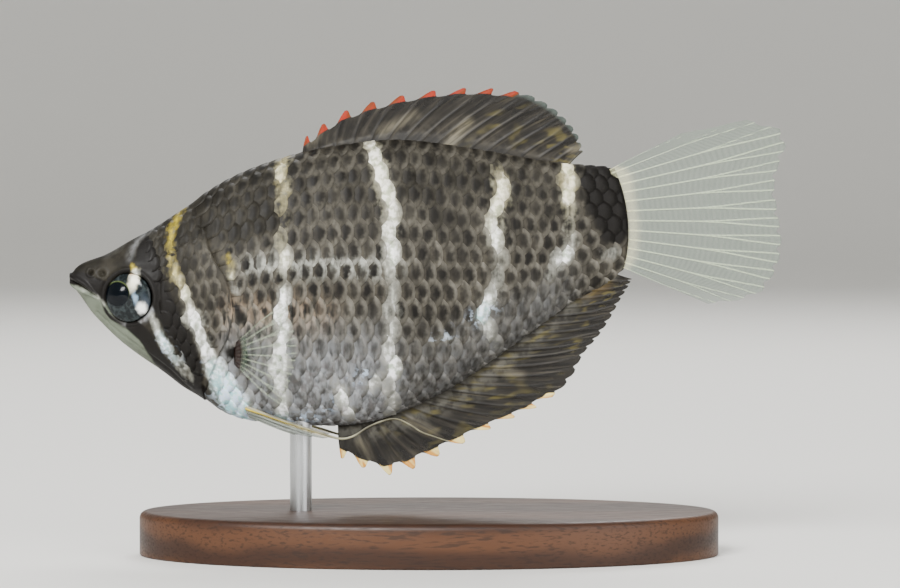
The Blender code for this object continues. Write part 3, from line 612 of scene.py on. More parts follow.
def head_relief(places):
    """How far the head's forms stand above the plain shape, or lie below it, at points of that shape."""
    x, _, z = places.T
    side_view = np.stack([x, z], -1)
    on_cover = within(z, *COVER_HEIGHTS)
    past = x - gill_x(z)
    lift = COVER_FLARE * smoothstep(*COVER_RISE, past) * (past < 0) * on_cover
    lift -= GILL_DEPTH * within(past, *GILL_LIP, GILL_WIDTH, 3 * GILL_WIDTH) * on_cover
    furrows = [(COVER_FRONT, COVER_GROOVE)] + [(crease, JAW_CREASE) for crease in JAW_CREASES]
    for path, (depth, width) in furrows:
        lift -= depth * bell(nearest(side_view, dense(path))[0], width)
    from_eye = np.hypot((x - EYE[0]) / math.cos(EYE_TURN), z - EYE[2])
    lift += LID_HEIGHT * bell(from_eye - LID_RADIUS, LID_WIDTH)
    lift -= SOCKET_DEPTH * (1 - smoothstep(*SOCKET_EDGE, from_eye))
    lift += BROW_HEIGHT * bell(x - BROW[0], BROW_SIZE[0]) * bell(z - BROW[1], BROW_SIZE[1])
    rim_place, rim_width, rim_height = NOSTRIL_RIM
    pit_width, pit_depth = NOSTRIL_PIT
    for nostril_x, nostril_z, radius in NOSTRILS:
        gap = np.hypot(x - nostril_x, z - nostril_z) / radius
        lift += rim_height * bell(gap - rim_place, rim_width) - pit_depth * bell(gap, pit_width)
    return lift + mouth_relief(places)


def mouth_relief(places):
    """Two lips round the snout, and the slit between them."""
    xs = np.linspace(GAPE_CORNER_X, GAPE_FRONT_X, GAPE_STEPS)
    zs = gape_z(xs)
    half = np.stack([xs, flank_y(xs, zs), zs], -1)
    front = [[GAPE[0][0], 0, GAPE[0][1]]]
    x, y, z = places.T
    gap, way = nearest(np.stack([x, np.abs(y), z], -1), np.vstack([half, front]))
    swell = mix(LIP_CORNER, 1, smoothstep(0, LIP_GROWTH, way))
    lips = LIP_HEIGHT * swell * bell(gap - LIP_MIDDLE * swell, LIP_WIDTH * swell)
    slit = SLIT_DEPTH * smoothstep(0, SLIT_GROWTH, way) * bell(gap, SLIT_WIDTH)
    return lips - slit


def stroke_value(places, knots):
    """How strongly a painted stroke of (x, z, half width, strength) shows: about half at its edge."""
    path = dense(knots)
    gap, way = nearest(places, path[:, :2])
    shares = np.linspace(0, 1, len(path))
    width = np.interp(way, shares, path[:, 2])
    inside, outside = STROKE_EDGE
    return np.interp(way, shares, path[:, 3]) * (1 - smoothstep(width - inside, width + outside, gap)), way


def strongest(places, strokes):
    """How strongly the strongest of some painted strokes shows."""
    return np.max([stroke_value(places, knots)[0] for knots in strokes.values()], axis=0)


def markings(x, z):
    """The fish's markings at places seen from the side, each from 0 to about 1."""
    places = np.stack([x, z], -1)
    pale = np.zeros(len(x))
    gold = np.zeros(len(x))
    for name, knots in PALE_STROKES.items():
        value, way = stroke_value(places, knots)
        pale = np.maximum(pale, value)
        share = GOLD_SHARE.get(name, 0)
        gold = np.maximum(gold, share * (value > LEAST_PALE) * (1 - smoothstep(*GOLD_WAY, way)))
    eye_x = x - EYE[0]
    eye_z = z - EYE[2]
    from_eye = np.hypot(eye_x, eye_z)
    ring = bell(from_eye - EYE_RING[0], EYE_RING[1])
    below = smoothstep(*CRESCENT[::-1], eye_z / from_eye)
    behind = smoothstep(*CRESCENT, eye_x / from_eye)
    crescent = ring * below * behind
    start_x, start_z, climb = ANAL_LINE
    above_anal = z - start_z - climb * (x - start_x)
    zones = {
        "nape": smoothstep(*NAPE_LEVELS, z) * (1 - smoothstep(*NAPE_END, x)),
        "belly": smoothstep(*BELLY_LEVELS, z) * within(x, *BELLY_SPAN),
        "spot_row": bell(z - SPOT_ROW[0], SPOT_ROW[1]) * within(x, *SPOT_ROW_SPAN),
        "sheath": smoothstep(*SHEATH_HEIGHT, above_anal) * within(x, *SHEATH_SPAN),
        "cover": bell(x - COVER_MIDDLE[0], COVER_SIZE[0]) * bell(z - COVER_MIDDLE[1], COVER_SIZE[1]),
    }
    pale_row = bell(z - PALE_ROW[0], PALE_ROW[1]) * within(x, *PALE_ROW_SPAN)
    on_body = smoothstep(*BODY_START, x)
    below_band = jaw_band_z(x) - z
    snout = (1 - on_body) * (1 - smoothstep(*SNOUT_EDGE, below_band))
    soft = strongest(places, SOFT_STROKES)
    net = mix(*NET_STRENGTH, smoothstep(*NET_LEVELS, z))
    for name, loss in NET_LOSS.items():
        net = net * (1 - loss * zones[name])
    spot = mix(SPOT_ON_HEAD, 1.0, on_body) * (1 - 0.8 * zones["belly"]) * (1 - 0.5 * zones["sheath"])
    dark = np.maximum(strongest(places, DARK_STROKES), 0.7 * (ring - crescent))
    dusk = np.max([snout, 0.85 * zones["nape"], 0.45 * smoothstep(*BACK_LEVELS, z)], axis=0)
    return {
        "pale": pale,
        "gold": gold,
        "dark": dark * (1 - pale) * (1 - soft),
        "silver": np.max([zones["belly"], crescent, 0.32 * zones["sheath"], 0.7 * soft], axis=0),
        "blue": strongest(places, BLUE_STROKES),
        "jaw": smoothstep(-JAW_EDGE, JAW_EDGE, below_band) * (1 - smoothstep(*JAW_END, x)),
        "warm": bell(z - WARM_ROW[0], WARM_ROW[1]) * within(x, *WARM_SPAN),
        "net": mix(NET_ON_HEAD, net, on_body) + 0.5 * pale_row,
        "band": pale_row,
        "dusk": dusk * (1 - 0.85 * soft) * (1 - 0.9 * crescent),
        "spot": spot + 0.2 * zones["spot_row"],
    }


def put_in_scene(name, data):
    """A new object that holds this mesh, curve, light or camera."""
    holder = bpy.data.objects.new(name, data)
    bpy.context.scene.collection.objects.link(holder)
    return holder


def mesh_of(shape, name):
    """A shape's points and faces as a new mesh."""
    mesh = bpy.data.meshes.new(name)
    shape.to_mesh(mesh)
    shape.free()
    return mesh


def taken_out(holder):
    """The mesh that an object's curve or modifiers come to, without the object."""
    bpy.context.view_layer.update()
    mesh = bpy.data.meshes.new_from_object(holder.evaluated_get(bpy.context.evaluated_depsgraph_get()))
    bpy.data.objects.remove(holder, do_unlink=True)
    return mesh


def set_attributes(mesh, values):
    """Stores a value for each point under each name, for the paint to read."""
    for name, value in values.items():
        attribute = mesh.attributes.new(name, "FLOAT", "POINT")
        attribute.data.foreach_set("value", np.asarray(value, np.float32))


def lay_map(mesh, name, pairs):
    """A UV map from a pair of values for each point."""
    corners = np.empty(len(mesh.loops), int)
    mesh.loops.foreach_get("vertex_index", corners)
    mesh.uv_layers.new(name=name).data.foreach_set("uv", pairs[corners].ravel())


def get_places(mesh):
    """A mesh's points in mm."""
    flat = np.empty(3 * len(mesh.vertices))
    mesh.vertices.foreach_get("co", flat)
    return flat.reshape(-1, 3) / MM


def set_places(mesh, places):
    """Moves a mesh's points to places in mm."""
    mesh.vertices.foreach_set("co", (places * MM).ravel())
    mesh.update()


def sided(name, side):
    """A name on the left flank, where side is -1, or on the right one, where it is 1."""
    return name + ("_left" if side < 0 else "_right")


def add_piece(name, mesh, material, slot, *replaced):
    """Puts a finished mesh in the scene, on the frame's body, in place of the solids that it stands for."""
    mesh.name = name
    mesh.materials.clear()
    mesh.materials.append(material)
    mesh.shade_smooth()
    piece = put_in_scene(name, mesh)
    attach(piece, "root")
    if replaced:
        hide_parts(*replaced)


def grid_mesh(columns, rows):
    """A flat grid and the number of the column and of the row of each of its points."""
    shape = bmesh.new()
    bmesh.ops.create_grid(shape, x_segments=columns, y_segments=rows, size=0.5)
    mesh = mesh_of(shape, "grid")
    flat = get_places(mesh) * MM + 0.5
    return mesh, np.rint(flat[:, 0] * columns).astype(int), np.rint(flat[:, 1] * rows).astype(int)


def tidy_mesh(mesh, merge=MERGE):
    """Joins doubled points, closes holes and turns the faces outwards."""
    shape = bmesh.new()
    shape.from_mesh(mesh)
    bmesh.ops.remove_doubles(shape, verts=shape.verts, dist=merge * MM)
    bmesh.ops.holes_fill(shape, edges=[edge for edge in shape.edges if edge.is_boundary])
    bmesh.ops.recalc_face_normals(shape, faces=shape.faces)
    shape.to_mesh(mesh)
    shape.free()


def modified(mesh, kind, weights=(), **settings):
    """A mesh after one modifier, with a vertex group named weights if each point has one."""
    holder = put_in_scene("holder", mesh)
    group = holder.vertex_groups.new(name="weights")
    for vertex, weight in enumerate(weights):
        group.add([vertex], float(weight), "REPLACE")
    modifier = holder.modifiers.new(kind, kind)
    for name, value in settings.items():
        setattr(modifier, name, value)
    return taken_out(holder)


def linear(code):
    """A colour given as sRGB hex, in the renderer's linear values."""
    parts = [int(code[k:k + 2], 16) / 255 for k in (0, 2, 4)]
    return (*(c / 12.92 if c <= 0.04045 else ((c + 0.055) / 1.055) ** 2.4 for c in parts), 1.0)


def per_mm(size):
    """A pattern's scale on Object coordinates, for features of a size in mm."""
    return 1 / (size * MM)


def add(tree, kind, inputs, output=None, **settings):
    """A node with its settings and its inputs, by name or in order; gives the output of that name, or else
    the first one in use."""
    node = tree.nodes.new("ShaderNode" + kind)
    for name, value in settings.items():
        setattr(node, name, value)
    for socket, value in inputs.items() if isinstance(inputs, dict) else enumerate(inputs):
        if isinstance(value, bpy.types.NodeSocket):
            tree.links.new(value, node.inputs[socket])
        else:
            node.inputs[socket].default_value = value
    return node.outputs[output] if output else next((each for each in node.outputs if each.enabled), None)


def new_material(name):
    """A material with no nodes yet, and its node tree."""
    material = bpy.data.materials.new(name)
    material.use_nodes = True
    material.node_tree.nodes.clear()
    return material, material.node_tree


def lay_coats(tree, colour, coats):
    """Coats of paint on a ground: the masks that bound each, the pattern that breaks it up, between which
    of the pattern's values it comes in, how densely it covers at these two, and its colour."""
    for masks, pattern, (low, high), (least, most), coat in coats:
        share = add(tree, "MapRange", (pattern, low, high, least, most), interpolation_type="SMOOTHSTEP")
        for mask in masks:
            share = add(tree, "Math", (share, mask), operation="MULTIPLY")
        paint = linear(coat) if isinstance(coat, str) else coat
        colour = add(tree, "Mix", {0: share, 6: colour, 7: paint}, data_type="RGBA")
    return colour


def skin_material(name, scaly):
    """Cast resin, airbrushed chocolate brown and thinly lacquered: a quiet, fleshy sheen."""
    material, tree = new_material(name)
    place = add(tree, "TexCoord", {}, "Object")
    upright = add(tree, "Mapping", {0: place, 3: (1.0, 1.0, 0.3)})
    mask = {key: add(tree, "Attribute", {}, "Fac", attribute_name=key) for key in SKIN_MASKS}
    coarse, fine, grain, streak = (
        add(tree, "TexNoise", {"Vector": way, "Scale": per_mm(size), "Detail": detail})
        for way, size, detail in (
            (place, 1.6, 3.0), (place, 0.45, 4.0), (place, 0.16, 2.0), (upright, 0.33, 2.0),
        )
    )
    colour = lay_coats(tree, linear("2d2a24"), [
        ([], coarse, (0.35, 0.65), (0.0, 1.0), "454138"),
        ([], streak, (0.48, 0.7), (0.0, 0.65), "1f1c18"),
        ([mask["warm"]], streak, (0.62, 0.42), (0.0, 0.9), "85735f"),
        ([mask["silver"]], streak, (0.7, 0.36), (0.25, 0.95), "929598"),
        ([mask["silver"]], fine, (0.48, 0.64), (0.0, 0.6), "575150"),
        ([mask["band"]], streak, (0.5, 0.62), (0.0, 0.55), "b9bab0"),
    ])
    if scaly:
        colour = paint_plates(tree, colour, mask, coarse, fine, streak)
    dark_edge = add(tree, "Math", (fine, 0.3, mask["dark"]), operation="MULTIPLY_ADD")
    pale_streak = add(tree, "Math", (streak, 0.6, mask["pale"]), operation="MULTIPLY_ADD")
    pale_edge = add(tree, "Math", (fine, 0.6, pale_streak), operation="MULTIPLY_ADD")
    white = lay_coats(tree, linear("aebaa6"), [
        ([], fine, (0.35, 0.58), (0.0, 1.0), "ffffff"),
        ([mask["gold"]], fine, (0.3, 0.5), (0.5, 1.0), "bda92c"),
        ([mask["blue"]], fine, (0.6, 0.38), (0.2, 0.9), "a8e0ea"),
    ])
    veil = lay_coats(tree, linear("a3a399"), [
        ([mask["gold"]], fine, (0.3, 0.5), (0.6, 1.0), "9c8b2a"),
        ([mask["blue"]], fine, (0.6, 0.38), (0.2, 0.8), "8fc3cf"),
    ])
    colour = lay_coats(tree, colour, [
        ([mask["dusk"]], coarse, (0.3, 0.7), (0.85, 0.65), "110f0a"),
        ([mask["jaw"]], coarse, (0.3, 0.6), (0.6, 0.9), "6a7263"),
        ([], dark_edge, (0.4, 0.8), (0.0, 1.0), "13110f"),
        ([], pale_edge, (0.75, 1.4), (0.0, 0.8), veil),
        ([], pale_edge, (1.15, 1.62), (0.0, 1.0), white),
        ([mask["blue"]], fine, (0.5, 0.58), (0.0, 1.0), "d3e8ff"),
    ])
    rough = add(tree, "MapRange", (fine, 0.3, 0.7, 0.46, 0.62))
    bumps = add(tree, "Bump", {"Height": grain, "Strength": 0.2, "Distance": 0.05 * MM})
    shader = add(tree, "BsdfPrincipled", {
        "Base Color": colour, "Roughness": rough, "Normal": bumps, "Specular IOR Level": 0.14,
    })
    add(tree, "OutputMaterial", {"Surface": shader})
    return material


def paint_plates(tree, colour, mask, coarse, fine, streak):
    """On each scale, a dark upright oval and a paler free edge, both ragged."""
    own = add(tree, "UVMap", {}, uv_map="Plate")
    offset = add(tree, "VectorMath", (own, SPOT_MIDDLE), operation="SUBTRACT")
    shares = add(tree, "VectorMath", (offset, SPOT_NARROWING), operation="MULTIPLY")
    gap = add(tree, "VectorMath", (shares,), operation="LENGTH")
    from_spot = add(tree, "Math", (fine, 1.8, gap), operation="MULTIPLY_ADD")
    along = add(tree, "SeparateXYZ", (own,), "Y")
    to_edge = add(tree, "Math", (fine, 0.35, along), operation="MULTIPLY_ADD")
    patchy = add(tree, "MapRange", (coarse, 0.35, 0.62, 0.4, 1.0))
    faded = add(tree, "MapRange", (streak, 0.35, 0.65, 1.0, 0.45))
    net = lay_coats(tree, linear("7e7a70"), [([mask["band"]], fine, (0.4, 0.6), (0.4, 1.0), "c4c6bc")])
    worn = add(tree, "MapRange", (streak, 0.35, 0.65, 0.85, 1.0))
    varied = add(tree, "MapRange", (mask["chance"], 0.0, 0.6, 0.6, 1.0))
    return lay_coats(tree, colour, [
        ([mask["net"], patchy, faded], to_edge, (0.8, 1.18), (0.0, 1.0), net),
        ([mask["spot"], varied, worn], from_spot, (2.45, 1.4), (0.0, 1.0), "0e0c0a"),
        ([], mask["chance"], (0.4, 1.0), (0.0, 0.25), "191714"),
    ])


def make_skin():
    """One closed skin over the head and body, with the head's forms raised in it."""
    stations = np.concatenate([
        np.linspace(start, end, count, endpoint=False)
        for (start, _), (end, count) in zip(SKIN_RINGS, SKIN_RINGS[1:])
    ] + [[TAIL_BASE_X]])
    caps = np.sin(np.linspace(CAP_START, 1, CAP_RINGS, endpoint=False) * QUARTER)
    sizes = np.concatenate([caps, np.ones(len(stations)), caps[::-1]])
    stations = np.concatenate([np.full(CAP_RINGS, SNOUT_X), stations, np.full(CAP_RINGS, TAIL_BASE_X)])
    mesh, ring, spoke = grid_mesh(len(stations) - 1, SKIN_ROUND)
    share = 2 * np.pi * spoke / SKIN_ROUND
    turn = share - SKIN_CROWDING * np.sin(2 * share)
    x = stations[ring]
    size = sizes[ring]
    plain = body_point(x, turn)
    lift = head_relief(plain)
    lift -= mix(NAKED_INSET, SCALY_INSET, scaliness(plain[:, 0], plain[:, 2]))
    places = body_lifted(x, turn, lift * size)
    middle = np.stack([x, np.zeros(len(x)), widest_z(x)], -1)
    places = middle + (places - middle) * size[:, None]
    places[:, 0] -= SNOUT_CAP * np.sqrt(1 - np.minimum(size, 1) ** 2) * (x < 0)
    set_places(mesh, places)
    tidy_mesh(mesh)
    places = get_places(mesh)
    marks = markings(places[:, 0], places[:, 2])
    marks["chance"] = np.zeros(len(places))
    set_attributes(mesh, marks)
    flesh = ("head", "lower_jaw", "gill_cover_left", "gill_cover_right", "torso", "tail_peduncle")
    add_piece("skin", mesh, skin_material("painted_resin_skin", False), "skin", *flesh)


class Girth:
    """The way round one side of the body, from the back ridge down to the belly, in mm."""

    def __init__(self):
        self.stations = np.linspace(SNOUT_X, TAIL_BASE_X, GIRTH_STEPS)
        turns = np.linspace(QUARTER, -QUARTER, GIRTH_STEPS)
        x, turn = np.meshgrid(self.stations, turns, indexing="ij")
        steps = np.linalg.norm(np.diff(body_point(x, turn), axis=1), axis=2)
        ways = np.concatenate([np.zeros((GIRTH_STEPS, 1)), np.cumsum(steps, axis=1)], axis=1)
        self.lengths = ways[:, -1]
        shares = np.linspace(0, 1, GIRTH_STEPS)
        self.turns = np.array([np.interp(shares * way[-1], way, turns) for way in ways])

    def length(self, x):
        """The whole way round at x."""
        return np.interp(x, self.stations, self.lengths)

    def turn(self, x, way):
        """The turn where a way down from the ridge ends."""
        column = np.clip((x - SNOUT_X) / (TAIL_BASE_X - SNOUT_X), 0, 1) * (GIRTH_STEPS - 1)
        row = np.clip(way / self.length(x), 0, 1) * (GIRTH_STEPS - 1)
        i = np.minimum(column.astype(int), GIRTH_STEPS - 2)
        j = np.minimum(row.astype(int), GIRTH_STEPS - 2)
        upper = mix(self.turns[i, j], self.turns[i, j + 1], row - j)
        lower = mix(self.turns[i + 1, j], self.turns[i + 1, j + 1], row - j)
        return mix(upper, lower, column - i)


def scale_places(girth):
    """Where one side's scales sit, (x, way down from the ridge), row by row, each row half a pitch on."""
    steps = [FIRST_SCALE_X]
    while steps[-1] < LAST_SCALE_X:
        steps.append(steps[-1] + float(column_pitch(steps[-1])) / 2)
    places = []
    for number, x in enumerate(steps):
        height = float(row_height(x))
        whole = float(girth.length(x))
        for row in range(number % 2, int(whole / height) + 2, 2):
            way = (row + 0.5) * height
            if way < whole + LAST_ROW_OVER * height:
                places.append((x, min(way, whole - LAST_ROW_IN * height)))
    x, way = np.array(places).T
    seen = body_point(x, girth.turn(x, way))
    past = x - gill_x(seen[:, 2])
    low, _, _, high = COVER_HEIGHTS
    front, rear = BARE_AT_GILL
    at_gill = (past > front) & (past < rear) & (seen[:, 2] > low) & (seen[:, 2] < high)
    from_eye = np.hypot(seen[:, 0] - EYE[0], seen[:, 2] - EYE[2])
    kept = (scaliness(seen[:, 0], seen[:, 2]) > LEAST_SCALINESS) & ~at_gill & (from_eye > BARE_ROUND_EYE)
    return x[kept], way[kept], past[kept] < 0


def make_scales(side):
    """Overlapping scales of one side, each a thin domed plate that rises towards its free rear edge."""
    girth = Girth()
    x, way, on_head = scale_places(girth)
    draw = np.random.default_rng(SCALE_SEED)
    x = x + draw.normal(0, SCALE_SHIFT, len(x))
    chance = draw.random(len(x))
    size = draw.normal(1, SCALE_SPREAD, len(x))
    mesh, column, row = grid_mesh(PLATE_COLUMNS - 1, PLATE_ROWS - 1)
    count = len(mesh.vertices)
    mesh = modified(mesh, "ARRAY", count=len(x), use_relative_offset=False, use_constant_offset=True,
                    constant_offset_displace=(0, 0, 1))
    plate = np.repeat(np.arange(len(x)), count)
    across = np.tile(2 * column / (PLATE_COLUMNS - 1) - 1, len(x))
    along = np.tile(row / (PLATE_ROWS - 1), len(x))
    pitch = column_pitch(x)[plate] * size[plate]
    height = row_height(x)[plate] * size[plate]
    rounding = np.sqrt(1 - (PLATE_ROUNDING * across) ** 2)
    back = mix(-PLATE_FRONT, PLATE_REAR * rounding, along) * pitch
    waist, waist_end = PLATE_WAIST
    down = across * PLATE_REACH * height * mix(waist, 1.0, smoothstep(0, waist_end, along))
    growth = (row_height(x + SLOPE_STEP) - row_height(x - SLOPE_STEP)) / (2 * SLOPE_STEP)
    slope = growth * way / row_height(x)
    at_x = x[plate] + back
    at_way = way[plate] + down + slope[plate] * back
    at_way = np.clip(at_way, RIDGE_GAP, girth.length(at_x) - RIDGE_GAP)
    turn = girth.turn(at_x, at_way)
    plain = body_point(at_x, turn)
    lift = mix(PLATE_LOW, PLATE_HIGH, along) + PLATE_DOME * (1 - across**2) * np.sin(np.pi * along)
    lift *= np.where(on_head, HEAD_PLATE_LIFT, 1.0)[plate]
    lift += np.where(on_head[plate], head_relief(plain), 0)
    full = scaliness(plain[:, 0], plain[:, 2])
    lift -= mix(NAKED_INSET, SCALY_INSET, full) + FIRST_SINK * (1 - full) * (1 - along)
    places = body_lifted(at_x, turn, lift)
    places[:, 1] *= -side
    set_places(mesh, places)
    if side > 0:
        mesh.flip_normals()
    paint_scales(mesh, places, plate, along, chance)
    lay_bake_patches(mesh, plate, across, along, x, side * way, girth)
    mesh = modified(mesh, "SOLIDIFY", thickness=PLATE_THICKNESS * MM, offset=-1)
    name = sided("scales", side)
    add_piece(name, mesh, skin_material(f"painted_{name}", True), "skin")


def paint_scales(mesh, places, plate, along, chance):
    """Markings that follow each scale in part, so that their edges step from scale to scale."""
    here = markings(places[:, 0], places[:, 2])
    shown = along > 0.5
    count = plate[-1] + 1
    middle = np.array([places[shown & (plate == k)].mean(axis=0) for k in range(count)])
    whole = markings(middle[:, 0], middle[:, 2])
    marks = {name: mix(here[name], whole[name][plate], STEPPED.get(name, STEPPED_ELSE)) for name in here}
    marks["chance"] = chance[plate]
    set_attributes(mesh, marks)


def lay_bake_patches(mesh, plate, across, along, x, way, girth):
    """Each scale's own map, and a patch for it at its root's place on an unwrap of the skin."""
    u = (x - SNOUT_X + BAKE_MARGIN) / (TAIL_BASE_X - SNOUT_X + 2 * BAKE_MARGIN)
    v = 0.5 + BAKE_REACH * way / girth.lengths.max()
    root = np.stack([u, v], -1)[plate]
    lay_map(mesh, "OFBake", root + BAKE_PATCH * np.stack([along - 0.5, across / 2], -1))
    lay_map(mesh, "Plate", np.stack([across / 2 + 0.5, along], -1))


def fan_point(rays, number, along):
    """Places on the sheet through a fin's rays, by ray number and share of the ray's length."""
    first = np.clip(number.astype(int), 0, len(rays[0]) - 2)
    t = along[:, None]
    here, there = (
        rays[0][k] * (1 - t) ** 2 + 2 * rays[1][k] * t * (1 - t) + rays[2][k] * t**2
        for k in (first, first + 1)
    )
    return mix(here, there, (number - first)[:, None])


def make_fin(name, rays, material, slot, build, spines=0, fork=NO_FORK, soft_step=SOFT_STEP, paint=None):
    """A thin membrane with its rays raised in it: spines end in pointed flags, soft rays in a scallop."""
    columns, rows, root, crest, tip, membrane, ray_width = build
    count = len(rays[0])
    mesh, column, row = grid_mesh((count - 1) * columns, rows)
    number = column / columns
    part = number - np.floor(number)
    scallop = np.interp(part, *SOFT_NOTCH) * soft_step
    notch = np.where(number < spines, within(part, *SPINE_NOTCH) * SPINE_STEP, scallop)
    ones = np.ones(len(number))
    length = np.linalg.norm(fan_point(rays, number, ones) - fan_point(rays, number, 0 * ones), axis=1)
    along = row / rows * (1 - np.minimum(notch / length, DEEPEST_NOTCH))
    places = fan_point(rays, number, along)
    next_place = fan_point(rays, np.minimum(np.floor(number) + 1, count - 1), along)
    this_place = fan_point(rays, np.minimum(np.floor(number), count - 2), along)
    spacing = np.linalg.norm(next_place - this_place, axis=1)
    aside = np.abs(number - np.rint(number))
    parting = FORK_PARTING * smoothstep(fork, 1, along) if fork < 1 else 0
    ray = bell((aside - parting) * spacing, ray_width)
    thick = mix(membrane, mix(crest, tip, along), ray)
    thick = mix(root, thick, smoothstep(0, THICK_ROOT, along))
    set_places(mesh, places)
    from_tip = (1 - along) * length
    flag = 1 - smoothstep(SPINE_STEP - FLAG_EDGE, SPINE_STEP, from_tip)
    flag = flag * (number < spines + FLAG_REACH) * (spines > 0)
    marks = {"ray": ray, "along": along, "flag": flag, "number": number / count}
    for mask, strokes in (paint or {}).items():
        marks[mask] = strongest(places[:, (0, 2)], strokes)
    set_attributes(mesh, marks)
    lay_map(mesh, "Fin", np.stack([number, along], -1))
    mesh = modified(mesh, "SOLIDIFY", thick / root, vertex_group="weights", thickness=root * MM, offset=0)
    tidy_mesh(mesh, FINE_MERGE)
    add_piece(name, mesh, material, slot, name)


def median_rays(count, roots, tips, bow, sway=0.0):
    """Roots, middles and tips of an upright fin's rays, from roots and a path of tips."""
    shares = np.linspace(0, 1, count)
    root = smooth_path(roots, shares)
    ends = smooth_path(tips, shares)
    tip = np.stack([ends[:, 0], sway * np.sin(2 * np.pi * shares), ends[:, 1]], -1)
    lean = tip - root
    middle = (root + tip) / 2 + np.stack([-lean[:, 2], 0 * shares, lean[:, 0]], -1) * bow
    return root, middle, tip


def ridge_roots(base, turn):
    """Root points sunk under the back, at a quarter turn up, or under the belly."""
    x = np.linspace(*base, ROOT_STEPS)
    return body_lifted(x, np.full(ROOT_STEPS, turn), np.full(ROOT_STEPS, -ROOT_SINK)) * (1, 0, 1)


def dark_fin_material(name, dots_from, dots_along, flag_codes, tip_code, root_code):
    """Thin resin casting, painted dark brown in strokes along the rays, with a thin satin lacquer."""
    material, tree = new_material(name)
    place = add(tree, "TexCoord", {}, "Object")
    mask = {key: add(tree, "Attribute", {}, "Fac", attribute_name=key) for key in FIN_MASKS}
    lines = add(tree, "UVMap", {}, uv_map="Fin")
    stretched = add(tree, "Mapping", {0: lines, 3: (3.6, 1.7, 1.0)})
    streak = add(tree, "TexNoise", {"Vector": stretched, "Scale": 1.0, "Detail": 5.0})
    blot = add(tree, "TexNoise", {"Vector": place, "Scale": per_mm(0.7), "Detail": 3.0})
    cloud = add(tree, "TexNoise", {"Vector": place, "Scale": per_mm(2.2), "Detail": 1.0})
    patch = add(tree, "MapRange", (cloud, 0.42, 0.58))
    spaced = add(tree, "Mapping", {0: lines, 3: (1.0, dots_along, 1.0)})
    spacing = {"Vector": spaced, "Scale": 1.3, "Detail": 1.0}
    dots = add(tree, "TexNoise", spacing, noise_dimensions="2D")
    rear, inner, root = (
        add(tree, "MapRange", (mask[key], start, end))
        for key, start, end in (
            ("number", dots_from, dots_from + 0.1), ("along", 0.95, 0.8), ("along", 0.5, 0.1),
        )
    )
    flag = lay_coats(tree, linear(flag_codes[0]), [([], streak, (0.4, 0.6), (0.0, 1.0), flag_codes[1])])
    colour = lay_coats(tree, linear("151310"), [
        ([], streak, (0.4, 0.62), (0.0, 1.0), "25221d"),
        ([], streak, (0.56, 0.72), (0.0, 0.4), "4c463b"),
        ([root], blot, (0.4, 0.6), (0.1, 0.7), root_code),
        ([rear, inner, patch], dots, (0.48, 0.74), (0.0, 0.75), "544d2b"),
        ([], mask["ray"], (0.2, 0.9), (0.0, 0.4), "100e0d"),
        ([], mask["along"], (0.9, 1.0), (0.0, 0.5), tip_code),
        ([], mask["along"], (0.2, 0.08), (0.0, 0.7), "181613"),
        ([mask["pale"]], streak, (0.35, 0.6), (0.15, 0.5), "8d8570"),
        ([mask["rust"]], streak, (0.25, 0.6), (0.25, 0.75), "47391d"),
        ([], mask["flag"], (0.3, 0.7), (0.0, 1.0), flag),
    ])
    bumps = add(tree, "Bump", {"Height": streak, "Strength": 0.3, "Distance": 0.05 * MM})
    thin = add(tree, "MapRange", (mask["along"], 0.2, 1.0, 1.0, 0.9))
    shader = add(tree, "BsdfPrincipled", {
        "Base Color": colour, "Alpha": thin, "Normal": bumps, "Roughness": 0.5, "Specular IOR Level": 0.18,
    })
    add(tree, "OutputMaterial", {"Surface": shader})
    return material


def clear_fin_material(name, film_alpha, ray_alpha, root_alpha, root_reach, root_code):
    """Clear cast resin film between milky rays: the rays catch the light and the film almost vanishes."""
    material, tree = new_material(name)
    ray_here = add(tree, "Attribute", {}, "Fac", attribute_name="ray")
    along = add(tree, "Attribute", {}, "Fac", attribute_name="along")
    lines = add(tree, "UVMap", {}, uv_map="Fin")
    waves = {"Vector": lines, "Scale": 9.0, "Distortion": 1.5}
    joints = add(tree, "TexWave", waves, "Fac", bands_direction="Y")
    colour = lay_coats(tree, linear("6f8070"), [
        ([], ray_here, (0.2, 0.9), (0.0, 1.0), "aab59a"),
        ([], along, (root_reach, root_reach / 2), (0.0, 1.0), root_code),
    ])
    banded = add(tree, "MapRange", (joints, 0.2, 0.8, 0.8, 1.0))
    dense_ray = add(tree, "MapRange", (ray_here, 0.2, 0.9, film_alpha, ray_alpha))
    thin = add(tree, "Math", (banded, dense_ray), operation="MULTIPLY")
    thick = add(tree, "MapRange", (along, root_reach, root_reach / 2, 0.0, root_alpha))
    alpha = add(tree, "Math", (thin, thick), operation="MAXIMUM")
    bumps = add(tree, "Bump", {"Height": joints, "Strength": 0.3, "Distance": 0.04 * MM})
    shader = add(tree, "BsdfPrincipled", {
        "Base Color": colour, "Alpha": alpha, "Normal": bumps, "Roughness": 0.3,
    })
    add(tree, "OutputMaterial", {"Surface": shader})
    return material


